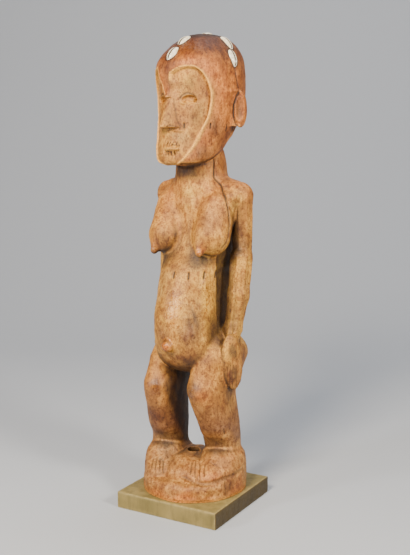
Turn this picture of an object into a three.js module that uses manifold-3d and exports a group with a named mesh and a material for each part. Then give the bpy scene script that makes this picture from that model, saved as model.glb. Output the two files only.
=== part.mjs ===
// A standing wooden figure in the Lega manner on a square plinth, with cowrie shells set in its crown.
// Millimetres. +Z is up, -Y is the front of the plinth and +X is the figure's left.
// The origin is the centre of the plinth's underside.

import * as THREE from "three";
import { mergeVertices } from "three/addons/utils/BufferGeometryUtils.js";
import Module from "manifold-3d";

const wasm = await Module();
wasm.setup();

// Driving dimensions
const PLINTH_SIDE = 150;
const PLINTH_HEIGHT = 22.5;
const PLINTH_BEVEL = 1;
const TOUCH_GAP = 0.3; // between pieces that touch
const FLOOR = PLINTH_HEIGHT + TOUCH_GAP; // underside of the carving
const TOP = 618.5; // crown of the head above the plinth's underside

const STANCE_TURN = 5.7; // degrees that the feet are turned towards the figure's left
const BODY_TURN = -7.3; // degrees for the trunk and head: the log has a slight twist
const TWIST_FROM = 90;
const TWIST_TO = 250;
const TRIM = 6; // the form runs this far below its underside, and is cut off flat there

const CELL = 2.5; // grid that the carving's surface is worked out on
const BODY_TRIANGLES = 7600; // left after thinning, before the shells' seats and the chip cuts
const FIGURE_TRIANGLES = 8400; // in the finished figure

// Small vector helpers: a point is [x, y, z]
const minus = (a, b) => [a[0] - b[0], a[1] - b[1], a[2] - b[2]];
const dot = (a, b) => a[0] * b[0] + a[1] * b[1] + a[2] * b[2];
const clamp = (value, low, high) => Math.min(Math.max(value, low), high);
const smoothStep = (from, to, value) => {
  const t = clamp((value - from) / (to - from), 0, 1);
  return t * t * (3 - 2 * t);
};
const radians = (degrees) => (degrees * Math.PI) / 180;

// The log is twisted: a point's own frame is turned about the upright axis by its height
const turnAt = (z) => {
  const share = smoothStep(TWIST_FROM, TWIST_TO, z);
  return radians(STANCE_TURN + (BODY_TURN - STANCE_TURN) * share);
};
const turned = ([x, y, z], angle) => [
  Math.cos(angle) * x - Math.sin(angle) * y,
  Math.sin(angle) * x + Math.cos(angle) * y,
  z,
];
const toLog = (point) => turned(point, -turnAt(point[2]));
const fromLog = (point) => turned(point, turnAt(point[2]));
const bothSides = ([x, y, z]) => [Math.abs(x), y, z];

// Joins and cuts with a soft edge of the given width
const join = (a, b, soft) => {
  const h = Math.max(soft - Math.abs(a - b), 0) / soft;
  return Math.min(a, b) - (h * h * soft) / 4;
};
const cut = (a, b, soft) => -join(-a, b, soft);
const keepWithin = (a, b, soft) => cut(a, -b, soft);

// Forms: each gives the distance from a point to its surface, negative inside
const ellipsoid = (p, centre, radii) => {
  const q = minus(p, centre);
  const k0 = Math.hypot(q[0] / radii[0], q[1] / radii[1], q[2] / radii[2]);
  const k1 = Math.hypot(q[0] / radii[0] ** 2, q[1] / radii[1] ** 2, q[2] / radii[2] ** 2);
  return k1 < 1e-9 ? -Math.min(...radii) : (k0 * (k0 - 1)) / k1;
};
const limb = (p, from, to, fromRadius, toRadius) => {
  const axis = minus(to, from);
  const t = clamp(dot(minus(p, from), axis) / dot(axis, axis), 0, 1);
  const near = [from[0] + t * axis[0], from[1] + t * axis[1], from[2] + t * axis[2]];
  return Math.hypot(...minus(p, near)) - (fromRadius + t * (toRadius - fromRadius));
};
const FLAT_SIDES = 8;
const FLAT_REACH = 0.93; // distance of each flat from the limb's axis, as a share of its radius
const facetedLimb = (p, from, to, fromRadius, toRadius, turn) => {
  const axis = minus(to, from);
  const t = clamp(dot(minus(p, from), axis) / dot(axis, axis), 0, 1);
  const away = minus(p, [from[0] + t * axis[0], from[1] + t * axis[1], from[2] + t * axis[2]]);
  const radius = fromRadius + t * (toRadius - fromRadius);
  let d = Math.hypot(...away) - radius;
  for (let side = 0; side < FLAT_SIDES / 2; side += 1) {
    const angle = radians(turn + (side * 360) / FLAT_SIDES);
    const out = Math.abs(away[0] * Math.sin(angle) - away[1] * Math.cos(angle));
    d = Math.max(d, out - FLAT_REACH * radius);
  }
  return d;
};
const roundedBox = (p, centre, halfSizes, rounding) => {
  const q = minus(p, centre).map((v, i) => Math.abs(v) - halfSizes[i] + rounding);
  const outside = Math.hypot(...q.map((v) => Math.max(v, 0)));
  return outside + Math.min(Math.max(...q), 0) - rounding;
};
const disc = (p, centre, radius, halfHeight, rounding) => {
  const q = minus(p, centre);
  const across = Math.hypot(q[0], q[1]) - radius + rounding;
  const along = Math.abs(q[2]) - halfHeight + rounding;
  const outside = Math.hypot(Math.max(across, 0), Math.max(along, 0));
  return outside + Math.min(Math.max(across, along), 0) - rounding;
};

// The values beside each row's first number, on a smooth curve through the rows
const softCurve = (t, before, from, to, after) => {
  const [t2, t3] = [t * t, t * t * t];
  const ends = (2 * t3 - 3 * t2 + 1) * from + (3 * t2 - 2 * t3) * to;
  return ends + (t3 - 2 * t2 + t) * before + (t3 - t2) * after;
};
const curveAt = (rows, at) => {
  const last = rows.length - 1;
  let i = 0;
  while (i < last - 1 && at > rows[i + 1][0]) i += 1;
  const row = (k) => rows[clamp(k, 0, last)];
  const span = row(i + 1)[0] - row(i)[0];
  const t = clamp((at - row(i)[0]) / span, 0, 1);
  return rows[0].slice(1).map((_, n) => {
    const slope = (k) => {
      const [below, above] = [row(k - 1), row(k + 1)];
      return ((above[n + 1] - below[n + 1]) / (above[0] - below[0])) * span;
    };
    return softCurve(t, slope(i), row(i)[n + 1], row(i + 1)[n + 1], slope(i + 1));
  });
};

// A form built up from level sections: each is [height, centre x, centre y, half width, half depth]
const column = (p, sections, roundness) => {
  const [x, y, halfWidth, halfDepth] = curveAt(sections, p[2]);
  const across = Math.abs(p[0] - x) / halfWidth;
  const along = Math.abs(p[1] - y) / halfDepth;
  const ring = (across ** roundness + along ** roundness) ** (1 / roundness);
  const side = (ring - 1) * Math.min(halfWidth, halfDepth);
  return Math.max(side, p[2] - sections.at(-1)[0], sections[0][0] - p[2]);
};

// Base: a low round block, not quite true, with a mound under the feet
const BASE_RADIUS = 70;
const BASE_TOP = 46;
const BASE_HALF_HEIGHT = 18; // reaches below the cut underside
const BASE_EDGE = 9;
// Its side strays from round in waves: each has its count round the base, its height, its place and its lean
const BASE_WAVES = [
  { count: 3, height: 0.9, place: 1.1, lean: 0 },
  { count: 8, height: 0.54, place: 0, lean: 0.04 },
];
const MOUND = { middle: [0, 2, 36], half: [60, 58, 37], soft: 8 };
const baseForm = (p) => {
  const block = disc(p, [0, 0, BASE_TOP - BASE_HALF_HEIGHT], BASE_RADIUS, BASE_HALF_HEIGHT, BASE_EDGE);
  const around = Math.atan2(p[0], -p[1]);
  const waver = BASE_WAVES.reduce(
    (sum, { count, height, place, lean }) => sum + height * Math.sin(count * around + place + lean * p[2]),
    0,
  );
  return join(block - waver, ellipsoid(p, MOUND.middle, MOUND.half), MOUND.soft);
};

// Feet: domed insteps and toes that stop at the base's own outline, with a blind hole between the ankles
const INSTEP = { middle: [40, 8, 46], half: [36, 44, 41] };
const TOES = { middle: [34, -26, 44], half: [24, 26, 19], soft: 10 };
const FOOT_REACH = { middle: [0, 0, 50], radius: 71, halfHeight: 60, rounding: 4, soft: 8 };
const HOLE = { from: [-1, -3, 82], to: [-1, 6, 46], fromRadius: 7.5, toRadius: 6, soft: 1.5 };
const HOLE_NOTCH = { from: [7, -4, 77], to: [3, 2, 60], fromRadius: 3, toRadius: 2.5, soft: 1 };
const feetForm = (m) => {
  const instep = ellipsoid(m, INSTEP.middle, INSTEP.half);
  const toes = ellipsoid(m, TOES.middle, TOES.half);
  const reach = disc(m, FOOT_REACH.middle, FOOT_REACH.radius, FOOT_REACH.halfHeight, FOOT_REACH.rounding);
  return keepWithin(join(instep, toes, TOES.soft), reach, FOOT_REACH.soft);
};

// Legs: bent at the knee, the same on both sides of a line a little to the figure's right
const LEG_SHIFT = -2.5;
const HIP_SHIFT = 0.5;
const HIP_FROM = 175;
const HIP_TO = 215;
const LEG_OUTSIDE = 60;
const RIGHT_LEG_NARROWING = 0.12; // taken off the inner side of the right leg, round the knee
const KNEE_SPAN = { from: 100, full: 150, fullTo: 190, to: 225 };
const LEG_ROUNDNESS = 2.2;
const LEG = [
  [60, 40, 14, 24, 26],
  [86, 39, 12, 24.5, 26],
  [107, 38, 5, 25.5, 32],
  [133, 35, -1, 26, 38],
  [150, 33.5, -5, 25.5, 42],
  [166, 33, -4, 26, 47],
  [185, 33.5, 8, 26, 50],
  [204, 33, 14, 28, 49],
  [225, 30, 14, 25, 37],
  [246, 20, 10, 14, 24],
];
const legsForm = ([x, y, z]) => {
  const shift = LEG_SHIFT + (HIP_SHIFT - LEG_SHIFT) * smoothStep(HIP_FROM, HIP_TO, z);
  const across = Math.abs(x - shift);
  const { from, full, fullTo, to } = KNEE_SPAN;
  const atKnee = smoothStep(from, full, z) * smoothStep(to, fullTo, z);
  const narrowing = x < shift ? RIGHT_LEG_NARROWING * atKnee : 0;
  const widened = LEG_OUTSIDE - (LEG_OUTSIDE - across) / (1 - narrowing);
  return column([widened, y, z], LEG, LEG_ROUNDNESS);
};

// Trunk: a full rounded front that ends in an arris at each side, a narrower flat back, and the navel
const TRUNK_ROUNDNESS = 2.3;
const TRUNK = [
  [184, 0, -1, 27, 24],
  [196, 0, -6, 38, 36],
  [215, 0, -8, 43, 45],
  [253, 0, -8, 42, 51],
  [286, 0, -5, 41, 47],
  [316, 0, -1, 41, 42],
  [343, 0, 4, 42, 32],
  [390, 0, 8, 50, 25],
  [420, 0, 12, 48, 22],
];
const TRUNK_ARRIS = -5;
const LOWER_BACK = { middle: [0, 10, 300], half: [35, 28, 110], soft: 2 };
const UPPER_BACK = { middle: [0, 17, 372], half: [37, 27, 58], soft: 4 };
const BACK_ROUNDING = 9;
const NAVEL = { middle: [1, -57, 224], root: [1, -40, 224], radius: 8.5, soft: 4 };
const trunkForm = (p) => {
  let d = Math.max(column(p, TRUNK, TRUNK_ROUNDNESS), p[1] - TRUNK_ARRIS);
  d = join(d, roundedBox(p, LOWER_BACK.middle, LOWER_BACK.half, BACK_ROUNDING), LOWER_BACK.soft);
  d = join(d, roundedBox(p, UPPER_BACK.middle, UPPER_BACK.half, BACK_ROUNDING), UPPER_BACK.soft);
  return join(d, limb(p, NAVEL.middle, NAVEL.root, NAVEL.radius, NAVEL.radius), NAVEL.soft);
};

// Shoulders and breasts: the left breast is the fuller one
const SHOULDERS = { from: [0, 16, 420], to: [58, 21, 415], fromRadius: 27, toRadius: 17 };
const BREAST_ROOT = { middle: [36, 4, 400], radius: 23 };
const BREASTS = {
  left: { middle: [38, -13, 363], radius: 25, nipple: [37, -36.5, 344] },
  right: { middle: [31, -17, 361.5], radius: 24.5, nipple: [36.5, -37, 343] },
};
const NIPPLE = { rootShift: [-2, 5, 8], rootRadius: 9, radius: 5.5, soft: 6 };
const SHOULDER_PLANE = { from: [55, 7, 412], to: [50, 12, 388], fromRadius: 10, toRadius: 9, soft: 3 };
const BUST_SOFT = 5;
const limbOf = (p, { from, to, fromRadius, toRadius }) => limb(p, from, to, fromRadius, toRadius);
const bustForm = (p, m) => {
  const breast = p[0] < 0 ? BREASTS.right : BREASTS.left;
  const full = limb(m, BREAST_ROOT.middle, breast.middle, BREAST_ROOT.radius, breast.radius);
  const nippleRoot = breast.nipple.map((v, i) => v + NIPPLE.rootShift[i]);
  const nipple = limb(m, nippleRoot, breast.nipple, NIPPLE.rootRadius, NIPPLE.radius);
  const front = join(join(full, nipple, NIPPLE.soft), limbOf(m, SHOULDER_PLANE), SHOULDER_PLANE.soft);
  return join(limbOf(m, SHOULDERS), front, BUST_SOFT);
};

// Arms: cut free of the trunk from the armpit to the wrist, pared in long flats, with the hands on the hips
const ELBOW = [55.5, 31, 339];
const ARM_FLATS_TURN = 38;
const UPPER_ARM = { from: [60.5, 22, 410], to: ELBOW, fromRadius: 15.5, toRadius: 13.5, soft: 3 };
const FOREARM = { from: [58, 25, 332], to: [56.5, 21, 285], fromRadius: 16, toRadius: 15 };
const LOW_FOREARM = { from: FOREARM.to, to: [52, 16, 243], fromRadius: 15, toRadius: 12.5, soft: 4 };
const WRIST = { from: [52, 14, 240], to: [58, 2, 212], fromRadius: 11, toRadius: 9, soft: 8 };
const HANDS = {
  left: { middle: [62.5, -5, 201], half: [8.5, 15, 38], turn: 35 },
  right: { middle: [53, 14, 199], half: [8.5, 12.5, 34], turn: 10 },
};
const HAND_SOFT = 8;
const armsForm = (p, m) => {
  const { middle, half, turn } = p[0] < 0 ? HANDS.right : HANDS.left;
  const hand = ellipsoid(turned(minus(m, middle), radians(turn)), [0, 0, 0], half);
  const [upper, fore, lowFore] = [UPPER_ARM, FOREARM, LOW_FOREARM].map((part) =>
    facetedLimb(m, part.from, part.to, part.fromRadius, part.toRadius, ARM_FLATS_TURN),
  );
  const arm = join(upper, join(fore, lowFore, LOW_FOREARM.soft), UPPER_ARM.soft);
  return join(join(arm, limbOf(m, WRIST), WRIST.soft), hand, HAND_SOFT);
};

// Neck
const NECK = { middle: [0, 16, 440], half: [33, 36, 60] };

// Head: level sections from the chin to the crown
const HEAD_ROUNDNESS = 2.2;
const HEAD = [
  [452, 0, -33, 14, 13],
  [456, 0, -25, 29, 27],
  [466, 0, -13.5, 37.5, 39],
  [485, 0, -0.5, 42.5, 50],
  [510, 0, 10, 48, 59],
  [540, 0, 15, 52, 63],
  [578, 0, 16, 50, 63],
  [594, 0, 20, 44, 55],
  [609, 0, 24, 32, 39],
  [616, 0, 24, 20, 24],
  [TOP, 0, 23, 9, 11],
];

// Face: a sunk heart, with the point of the forehead running down between its two lobes to the nose
const FACE_HALF_WIDTHS = [
  [452, 4],
  [456, 14],
  [461, 19.5],
  [474, 27.5],
  [492, 33.5],
  [509.5, 39.2],
  [527, 42.3],
  [540, 43],
  [551, 41.5],
  [560, 39],
  [569, 33.5],
  [577, 24],
];
const FACE_DEPTH = [
  [452, 1.2],
  [480, 1.8],
  [510, 3.5],
  [575, 4],
];
const FACE_BEVEL = 5; // width over which the face drops from its rim to its depth
const FAR_SIDE = 2.5; // the face is this much wider on the figure's right
const LOBE = { top: 572, middle: 24, halfSpan: 24, fall: 8 };
// The forehead's point, between the face's two lobes: each row is [height, its right edge, its left edge]
const FOREHEAD_POINT = [
  [536, -9.5, -4],
  [550, -15, -0.5],
  [563, -22, 1.5],
  [576, -27, 3],
];
const FADE = { top: 561, height: 8, from: [-10, -7], to: [12, 9], bevel: 11 }; // its soft left slope
const faceDepth = (x, z) => {
  const out = x < 0 ? -x - FAR_SIDE * smoothStep(0, -20, x) : x;
  const fromSide = curveAt(FACE_HALF_WIDTHS, z)[0] - out;
  const fromTop = LOBE.top - LOBE.fall * ((Math.abs(x) - LOBE.middle) / LOBE.halfSpan) ** 2 - z;
  const [rightEdge, leftEdge] = curveAt(FOREHEAD_POINT, z);
  const fromPoint = z > FOREHEAD_POINT[0][0] ? Math.max(rightEdge - x, x - leftEdge) : fromSide;
  const inside = z > FACE_HALF_WIDTHS[0][0] ? Math.min(fromSide, fromTop, fromPoint) : -FACE_BEVEL;
  const level = smoothStep(FADE.top, FADE.top - FADE.height, z);
  const faded = level * smoothStep(...FADE.from, x) * smoothStep(...FADE.to, x);
  const bevel = FACE_BEVEL + (FADE.bevel - FACE_BEVEL) * faded;
  return curveAt(FACE_DEPTH, z)[0] * smoothStep(-FACE_BEVEL / 2, bevel - FACE_BEVEL / 2, inside);
};

// Nose: a wedge that widens and rises downwards, flat below; each pair is its value at the root and at the base
const NOSE = { root: 540, base: 499, ridge: [-4, -8], left: [13, 22], right: [4, 13], height: [2.5, 11] };
const NOSE_CROWNING = 1.6;
const NOSE_ROOT_BLEND = [-0.15, 0.1]; // shares of its length over which it rises from the brow
const NOSE_BASE_ROUNDING = 1.2;
const noseHeight = (x, z) => {
  const down = (NOSE.root - z) / (NOSE.root - NOSE.base);
  const grown = clamp(down, 0, 1);
  const [ridge, left, right, height] = [NOSE.ridge, NOSE.left, NOSE.right, NOSE.height].map(
    ([first, last]) => first + (last - first) * grown,
  );
  const flank = x > ridge ? (x - ridge) / left : (ridge - x) / right;
  const atRoot = smoothStep(...NOSE_ROOT_BLEND, down);
  const atBase = smoothStep(NOSE.base - NOSE_BASE_ROUNDING, NOSE.base + NOSE_BASE_ROUNDING, z);
  return height * atRoot * atBase * (1 - clamp(flank, 0, 1) ** NOSE_CROWNING);
};

// Eyes and mouth: an eye lies in its hollow, and the mouth is a low swelling
const bulge = (x, z, [middleX, middleZ], [halfX, halfZ]) =>
  1 - smoothStep(0, 1, ((x - middleX) / halfX) ** 2 + ((z - middleZ) / halfZ) ** 2);
const EYES = [
  { middle: [21.5, 533], side: 1 },
  { middle: [-18, 533], side: -1 },
];
const SOCKET = { half: [9.5, 6.5], depth: 4.2, fullness: 1.6 };
const EYEBALL = { shift: [-2, -3.4], half: [7.5, 2.6], height: 2.8 };
const MOUTH = { middle: [4, 474], half: [14, 9], height: 2.2 };
const faceRelief = (x, z) => {
  let depth = faceDepth(x, z) - noseHeight(x, z) - MOUTH.height * bulge(x, z, MOUTH.middle, MOUTH.half);
  for (const { middle, side } of EYES) {
    const ball = [middle[0] + EYEBALL.shift[0] * side, middle[1] + EYEBALL.shift[1]];
    depth += SOCKET.depth * Math.min(SOCKET.fullness * bulge(x, z, middle, SOCKET.half), 1);
    depth -= EYEBALL.height * bulge(x, z, ball, EYEBALL.half);
  }
  return depth;
};

// Ears: hollowed ovals, each with a tab above and below and its front edge run into the head
const EAR = { middle: [51.5, 30, 523], half: [8.5, 11.5, 23.5], facing: 38 };
const EAR_HOLLOW = { middle: [-0.3, -10.8, 1], half: [7.2, 5, 18.5], soft: 1 };
const EAR_TABS = [
  [[46, 17, 503], [53, 25, 502]],
  [[51, 10, 544.5], [51.5, 26, 545.5]],
];
const EAR_TAB_RADIUS = 2.2;
const EAR_ROOT = { from: [47, 21, 508], to: [48, 21, 538], fromRadius: 5.5, toRadius: 5.5, soft: 4 };
const EAR_SOFT = 2;
const earForm = (m) => {
  const facing = turned(minus(m, EAR.middle), -radians(EAR.facing));
  const hollow = ellipsoid(facing, EAR_HOLLOW.middle, EAR_HOLLOW.half);
  const ear = cut(ellipsoid(m, EAR.middle, EAR.half), hollow, EAR_HOLLOW.soft);
  const tabs = EAR_TABS.map(([from, to]) => limb(m, from, to, EAR_TAB_RADIUS, EAR_TAB_RADIUS));
  return tabs.reduce((d, tab) => join(d, tab, EAR_SOFT), ear);
};

const FACE_FRONT = 20; // the face's relief fades out between the head's middle and here
const headForm = (p, m) => {
  const relief = faceRelief(p[0], p[2]) * smoothStep(FACE_FRONT, 0, p[1]);
  const skull = column(p, HEAD, HEAD_ROUNDNESS) + relief;
  return join(join(skull, limbOf(m, EAR_ROOT), EAR_ROOT.soft), earForm(m), EAR_SOFT);
};

// The whole carving, at a point of the object's frame
const SOFT = { feet: 2, legs: 2.5, trunk: 3, bust: 5, arms: 3, neck: 12, head: 3 };
const carving = (point) => {
  const p = toLog(point);
  const m = bothSides(p);
  let d = join(baseForm(p), feetForm(m), SOFT.feet);
  d = cut(d, limbOf(p, HOLE), HOLE.soft);
  d = cut(d, limbOf(p, HOLE_NOTCH), HOLE_NOTCH.soft);
  d = join(d, legsForm(p), SOFT.legs);
  d = join(d, trunkForm(p), SOFT.trunk);
  d = join(d, bustForm(p, m), SOFT.bust);
  d = join(d, armsForm(p, m), SOFT.arms);
  d = join(d, ellipsoid(p, NECK.middle, NECK.half), SOFT.neck);
  d = join(d, headForm(p, m), SOFT.head);
  return Math.max(d, FLOOR - TRIM - p[2]);
};
const SLOPE_STEP = 0.2;
const slopeAt = (point) => {
  const slope = [0, 1, 2].map((i) => {
    const [ahead, behind] = [SLOPE_STEP, -SLOPE_STEP].map((shift) => point.with(i, point[i] + shift));
    return (carving(ahead) - carving(behind)) / (2 * SLOPE_STEP);
  });
  return { slope, size: Math.hypot(...slope) };
};
const plus = (a, b, scale) => a.map((v, i) => v + b[i] * scale);
const LEAST_SLOPE = 0.2; // keeps a point from moving far where the form is almost level
const onSurface = (point) => {
  const { slope, size } = slopeAt(point);
  const move = clamp(-carving(point) / Math.max(size * size, LEAST_SLOPE), -CELL, CELL);
  return plus(point, slope, move);
};

// Where two parts of a form would meet only along an edge of a cell, the gap between them is filled
const fillPinches = (values, faceSteps, fill) => {
  let filled = 0;
  for (let n = 0; n < values.length; n += 1) {
    for (const [u, v] of faceSteps) {
      if (n + u + v >= values.length) continue;
      const inside = values[n] < 0;
      const alike = values[n + u + v] < 0 === inside;
      const crossed = alike && values[n + u] < 0 !== inside && values[n + v] < 0 !== inside;
      if (!crossed) continue;
      const outside = inside ? [n + u, n + v] : [n, n + u + v];
      values[values[outside[0]] < values[outside[1]] ? outside[0] : outside[1]] = -fill;
      filled += 1;
    }
  }
  return filled;
};

// Calls the action with each place of a grid
const eachPlace = (from, counts, action) => {
  for (let k = from; k < counts[2]; k += 1) {
    for (let j = from; j < counts[1]; j += 1) {
      for (let i = from; i < counts[0]; i += 1) action(i, j, k);
    }
  }
};

// Surface of a form: one vertex in each grid cell that the surface crosses, one square for each grid edge
const PINCH_FILL = 0.1; // depth that a filled gap is given, as a share of a cell
const surfaceOf = (form, low, high, cell) => {
  const counts = [0, 1, 2].map((i) => Math.ceil((high[i] - low[i]) / cell) + 1);
  const cells = counts.map((count) => count - 1);
  const index = (i, j, k) => (k * counts[1] + j) * counts[0] + i;
  const values = new Float64Array(counts[0] * counts[1] * counts[2]);
  eachPlace(0, counts, (i, j, k) => {
    values[index(i, j, k)] = form([low[0] + i * cell, low[1] + j * cell, low[2] + k * cell]);
  });

  const steps = [index(1, 0, 0), index(0, 1, 0), index(0, 0, 1)];
  const faceSteps = [0, 1, 2].map((a) => [steps[a], steps[(a + 1) % 3]]);
  while (fillPinches(values, faceSteps, cell * PINCH_FILL));

  const positions = [];
  const vertexOf = new Int32Array(values.length).fill(-1);
  const corners = [0, 1, 2, 3, 4, 5, 6, 7].map((n) => [n & 1, (n >> 1) & 1, n >> 2]);
  const edges = [];
  for (const n of corners.keys()) {
    for (const bit of [1, 2, 4]) {
      if (!(n & bit)) edges.push([n, n | bit]);
    }
  }
  eachPlace(0, cells, (i, j, k) => {
    const at = corners.map(([a, b, c]) => values[index(i + a, j + b, k + c)]);
    const sum = [0, 0, 0];
    let crossings = 0;
    for (const [n, o] of edges) {
      if (at[n] < 0 === at[o] < 0) continue;
      const t = at[n] / (at[n] - at[o]);
      for (let a = 0; a < 3; a += 1) sum[a] += corners[n][a] + t * (corners[o][a] - corners[n][a]);
      crossings += 1;
    }
    if (!crossings) return;
    vertexOf[index(i, j, k)] = positions.length / 3;
    const inCell = [i, j, k].map((v, a) => low[a] + (v + sum[a] / crossings) * cell);
    positions.push(...onSurface(inCell));
  });

  const triangles = [];
  eachPlace(1, cells, (i, j, k) => {
    const here = index(i, j, k);
    for (let a = 0; a < 3; a += 1) {
      const inside = values[here] < 0;
      if (inside === values[here + steps[a]] < 0) continue;
      const [u, v] = [steps[(a + 1) % 3], steps[(a + 2) % 3]];
      const ring = [here, here - u, here - u - v, here - v].map((n) => vertexOf[n]);
      if (!inside) ring.reverse();
      triangles.push(ring[0], ring[1], ring[2], ring[0], ring[2], ring[3]);
    }
  });
  return { positions, triangles };
};

// Thins a surface to a number of triangles, taking out first the edges whose loss moves it least
const QUADRIC_TERMS = 10;
const LEAST_DETERMINANT = 1e-3; // below it the best point isn't sharply defined
const FARTHEST_MOVE = 2; // how far the best point may lie from an edge's middle, in edge lengths
const LEAST_AGREEMENT = 0.3; // cosine between a triangle's old and new facing: less would fold it over
const planeQuadric = ([a, b, c], d, weight) =>
  [a * a, a * b, a * c, a * d, b * b, b * c, b * d, c * c, c * d, d * d].map((v) => v * weight);
const quadricCost = (q, [x, y, z]) =>
  q[0] * x * x + 2 * q[1] * x * y + 2 * q[2] * x * z + 2 * q[3] * x + q[4] * y * y +
  2 * q[5] * y * z + 2 * q[6] * y + q[7] * z * z + 2 * q[8] * z + q[9];
const cross = (a, b) => [
  a[1] * b[2] - a[2] * b[1],
  a[2] * b[0] - a[0] * b[2],
  a[0] * b[1] - a[1] * b[0],
];
const faceNormal = (a, b, c) => cross(minus(b, a), minus(c, a));
const bestPoint = (q, a, b) => {
  const rows = [[q[0], q[1], q[2]], [q[1], q[4], q[5]], [q[2], q[5], q[7]]];
  const right = [-q[3], -q[6], -q[8]];
  const determinant = dot(rows[0], cross(rows[1], rows[2]));
  const middle = a.map((v, i) => (v + b[i]) / 2);
  const choices = [a, b, middle];
  if (Math.abs(determinant) > LEAST_DETERMINANT) {
    const columns = [cross(rows[1], rows[2]), cross(rows[2], rows[0]), cross(rows[0], rows[1])];
    const along = (i) => columns.reduce((sum, col, k) => sum + col[i] * right[k], 0);
    const solved = [0, 1, 2].map((i) => along(i) / determinant);
    const farthest = FARTHEST_MOVE * Math.hypot(...minus(a, b));
    if (Math.hypot(...minus(solved, middle)) < farthest) choices.push(solved);
  }
  return choices.reduce((best, point) => (quadricCost(q, point) < quadricCost(q, best) ? point : best));
};
const thinned = ({ positions, triangles }, target) => {
  const points = [];
  for (let i = 0; i < positions.length; i += 3) points.push(positions.slice(i, i + 3));
  const faces = [];
  const facesAt = points.map(() => new Set());
  const quadrics = points.map(() => new Array(QUADRIC_TERMS).fill(0));
  const addTo = (sum, extra) => extra.forEach((v, i) => (sum[i] += v));
  for (let i = 0; i < triangles.length; i += 3) {
    const face = triangles.slice(i, i + 3);
    const normal = faceNormal(...face.map((n) => points[n]));
    const size = Math.hypot(...normal);
    const unit = size > 0 ? normal.map((v) => v / size) : [0, 0, 0];
    const quadric = planeQuadric(unit, -dot(unit, points[face[0]]), size);
    face.forEach((n) => {
      facesAt[n].add(faces.length);
      addTo(quadrics[n], quadric);
    });
    faces.push(face);
  }
  const stamp = points.map(() => 0);
  const heap = [];
  const push = (item) => {
    heap.push(item);
    let i = heap.length - 1;
    while (i > 0 && heap[(i - 1) >> 1].cost > heap[i].cost) {
      [heap[i], heap[(i - 1) >> 1]] = [heap[(i - 1) >> 1], heap[i]];
      i = (i - 1) >> 1;
    }
  };
  const pop = () => {
    const top = heap[0];
    const end = heap.pop();
    if (!heap.length) return top;
    heap[0] = end;
    for (let i = 0; ; ) {
      let least = i;
      for (const child of [2 * i + 1, 2 * i + 2]) {
        if (child < heap.length && heap[child].cost < heap[least].cost) least = child;
      }
      if (least === i) return top;
      [heap[i], heap[least]] = [heap[least], heap[i]];
      i = least;
    }
  };
  const consider = (a, b) => {
    const quadric = quadrics[a].map((v, i) => v + quadrics[b][i]);
    const point = bestPoint(quadric, points[a], points[b]);
    push({ cost: quadricCost(quadric, point), a, b, point, quadric, stamps: stamp[a] + stamp[b] });
  };
  const around = (n) => new Set([...facesAt[n]].flatMap((f) => faces[f]).filter((v) => v !== n));
  for (const face of faces) {
    for (const [i, n] of face.entries()) {
      const next = face[(i + 1) % 3];
      if (n < next) consider(n, next);
    }
  }

  let left = faces.length;
  while (left > target && heap.length) {
    const { a, b, point, quadric, stamps } = pop();
    if (stamp[a] < 0 || stamp[b] < 0 || stamps !== stamp[a] + stamp[b]) continue;
    const besideB = around(b);
    if ([...around(a)].filter((n) => besideB.has(n)).length !== 2) continue;
    const onEdge = (f) => faces[f].includes(a) && faces[f].includes(b);
    const moved = [...facesAt[a], ...facesAt[b]].filter((f) => !onEdge(f));
    const folds = moved.some((f) => {
      const before = faceNormal(...faces[f].map((n) => points[n]));
      const after = faceNormal(...faces[f].map((n) => (n === a || n === b ? point : points[n])));
      return dot(before, after) < LEAST_AGREEMENT * Math.hypot(...before) * Math.hypot(...after);
    });
    if (folds) continue;
    for (const f of [...facesAt[b]]) {
      if (faces[f].includes(a)) {
        faces[f].forEach((n) => facesAt[n].delete(f));
        faces[f] = null;
        left -= 1;
      } else {
        faces[f] = faces[f].map((n) => (n === b ? a : n));
        facesAt[a].add(f);
      }
    }
    points[a] = point;
    quadrics[a] = quadric;
    stamp[b] = -1;
    stamp[a] += 1;
    const beside = around(a);
    for (const n of beside) stamp[n] += 1;
    for (const n of beside) {
      for (const o of around(n)) {
        if (n < o || !beside.has(o)) consider(n, o);
      }
    }
  }

  const used = new Map();
  const kept = faces.filter(Boolean).flat();
  kept.forEach((n) => used.has(n) || used.set(n, used.size));
  return {
    positions: [...used.keys()].flatMap((n) => points[n]),
    triangles: kept.map((n) => used.get(n)),
  };
};

const geometryOf = ({ positions, triangles }) => {
  const geometry = new THREE.BufferGeometry();
  geometry.setAttribute("position", new THREE.Float32BufferAttribute(positions, 3));
  geometry.setIndex(triangles);
  return geometry;
};

// Solids for cutting and joining
const WELD = 1e-3; // vertices nearer to each other than this are one
const solidOf = (geometry) => {
  const bare = geometry.clone();
  bare.deleteAttribute("normal");
  bare.deleteAttribute("uv");
  const merged = mergeVertices(bare, WELD);
  return new wasm.Manifold(
    new wasm.Mesh({
      numProp: 3,
      vertProperties: new Float32Array(merged.attributes.position.array),
      triVerts: new Uint32Array(merged.index.array),
    }),
  );
};
const surfaceOfSolid = (solid) => {
  const mesh = solid.getMesh();
  return { positions: Array.from(mesh.vertProperties), triangles: Array.from(mesh.triVerts) };
};

const material = (color, roughness) =>
  new THREE.MeshStandardMaterial({ color, roughness, metalness: 0 });
const WOOD = material(0xa97c50, 0.6);
const PAINTED_WOOD = material(0x8c7a50, 0.7);
const SHELL = material(0xefe8d8, 0.35);

const object = new THREE.Group();
const addPiece = (name, geometry, look) => {
  const mesh = new THREE.Mesh(geometry, look);
  mesh.name = name;
  object.add(mesh);
};

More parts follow.
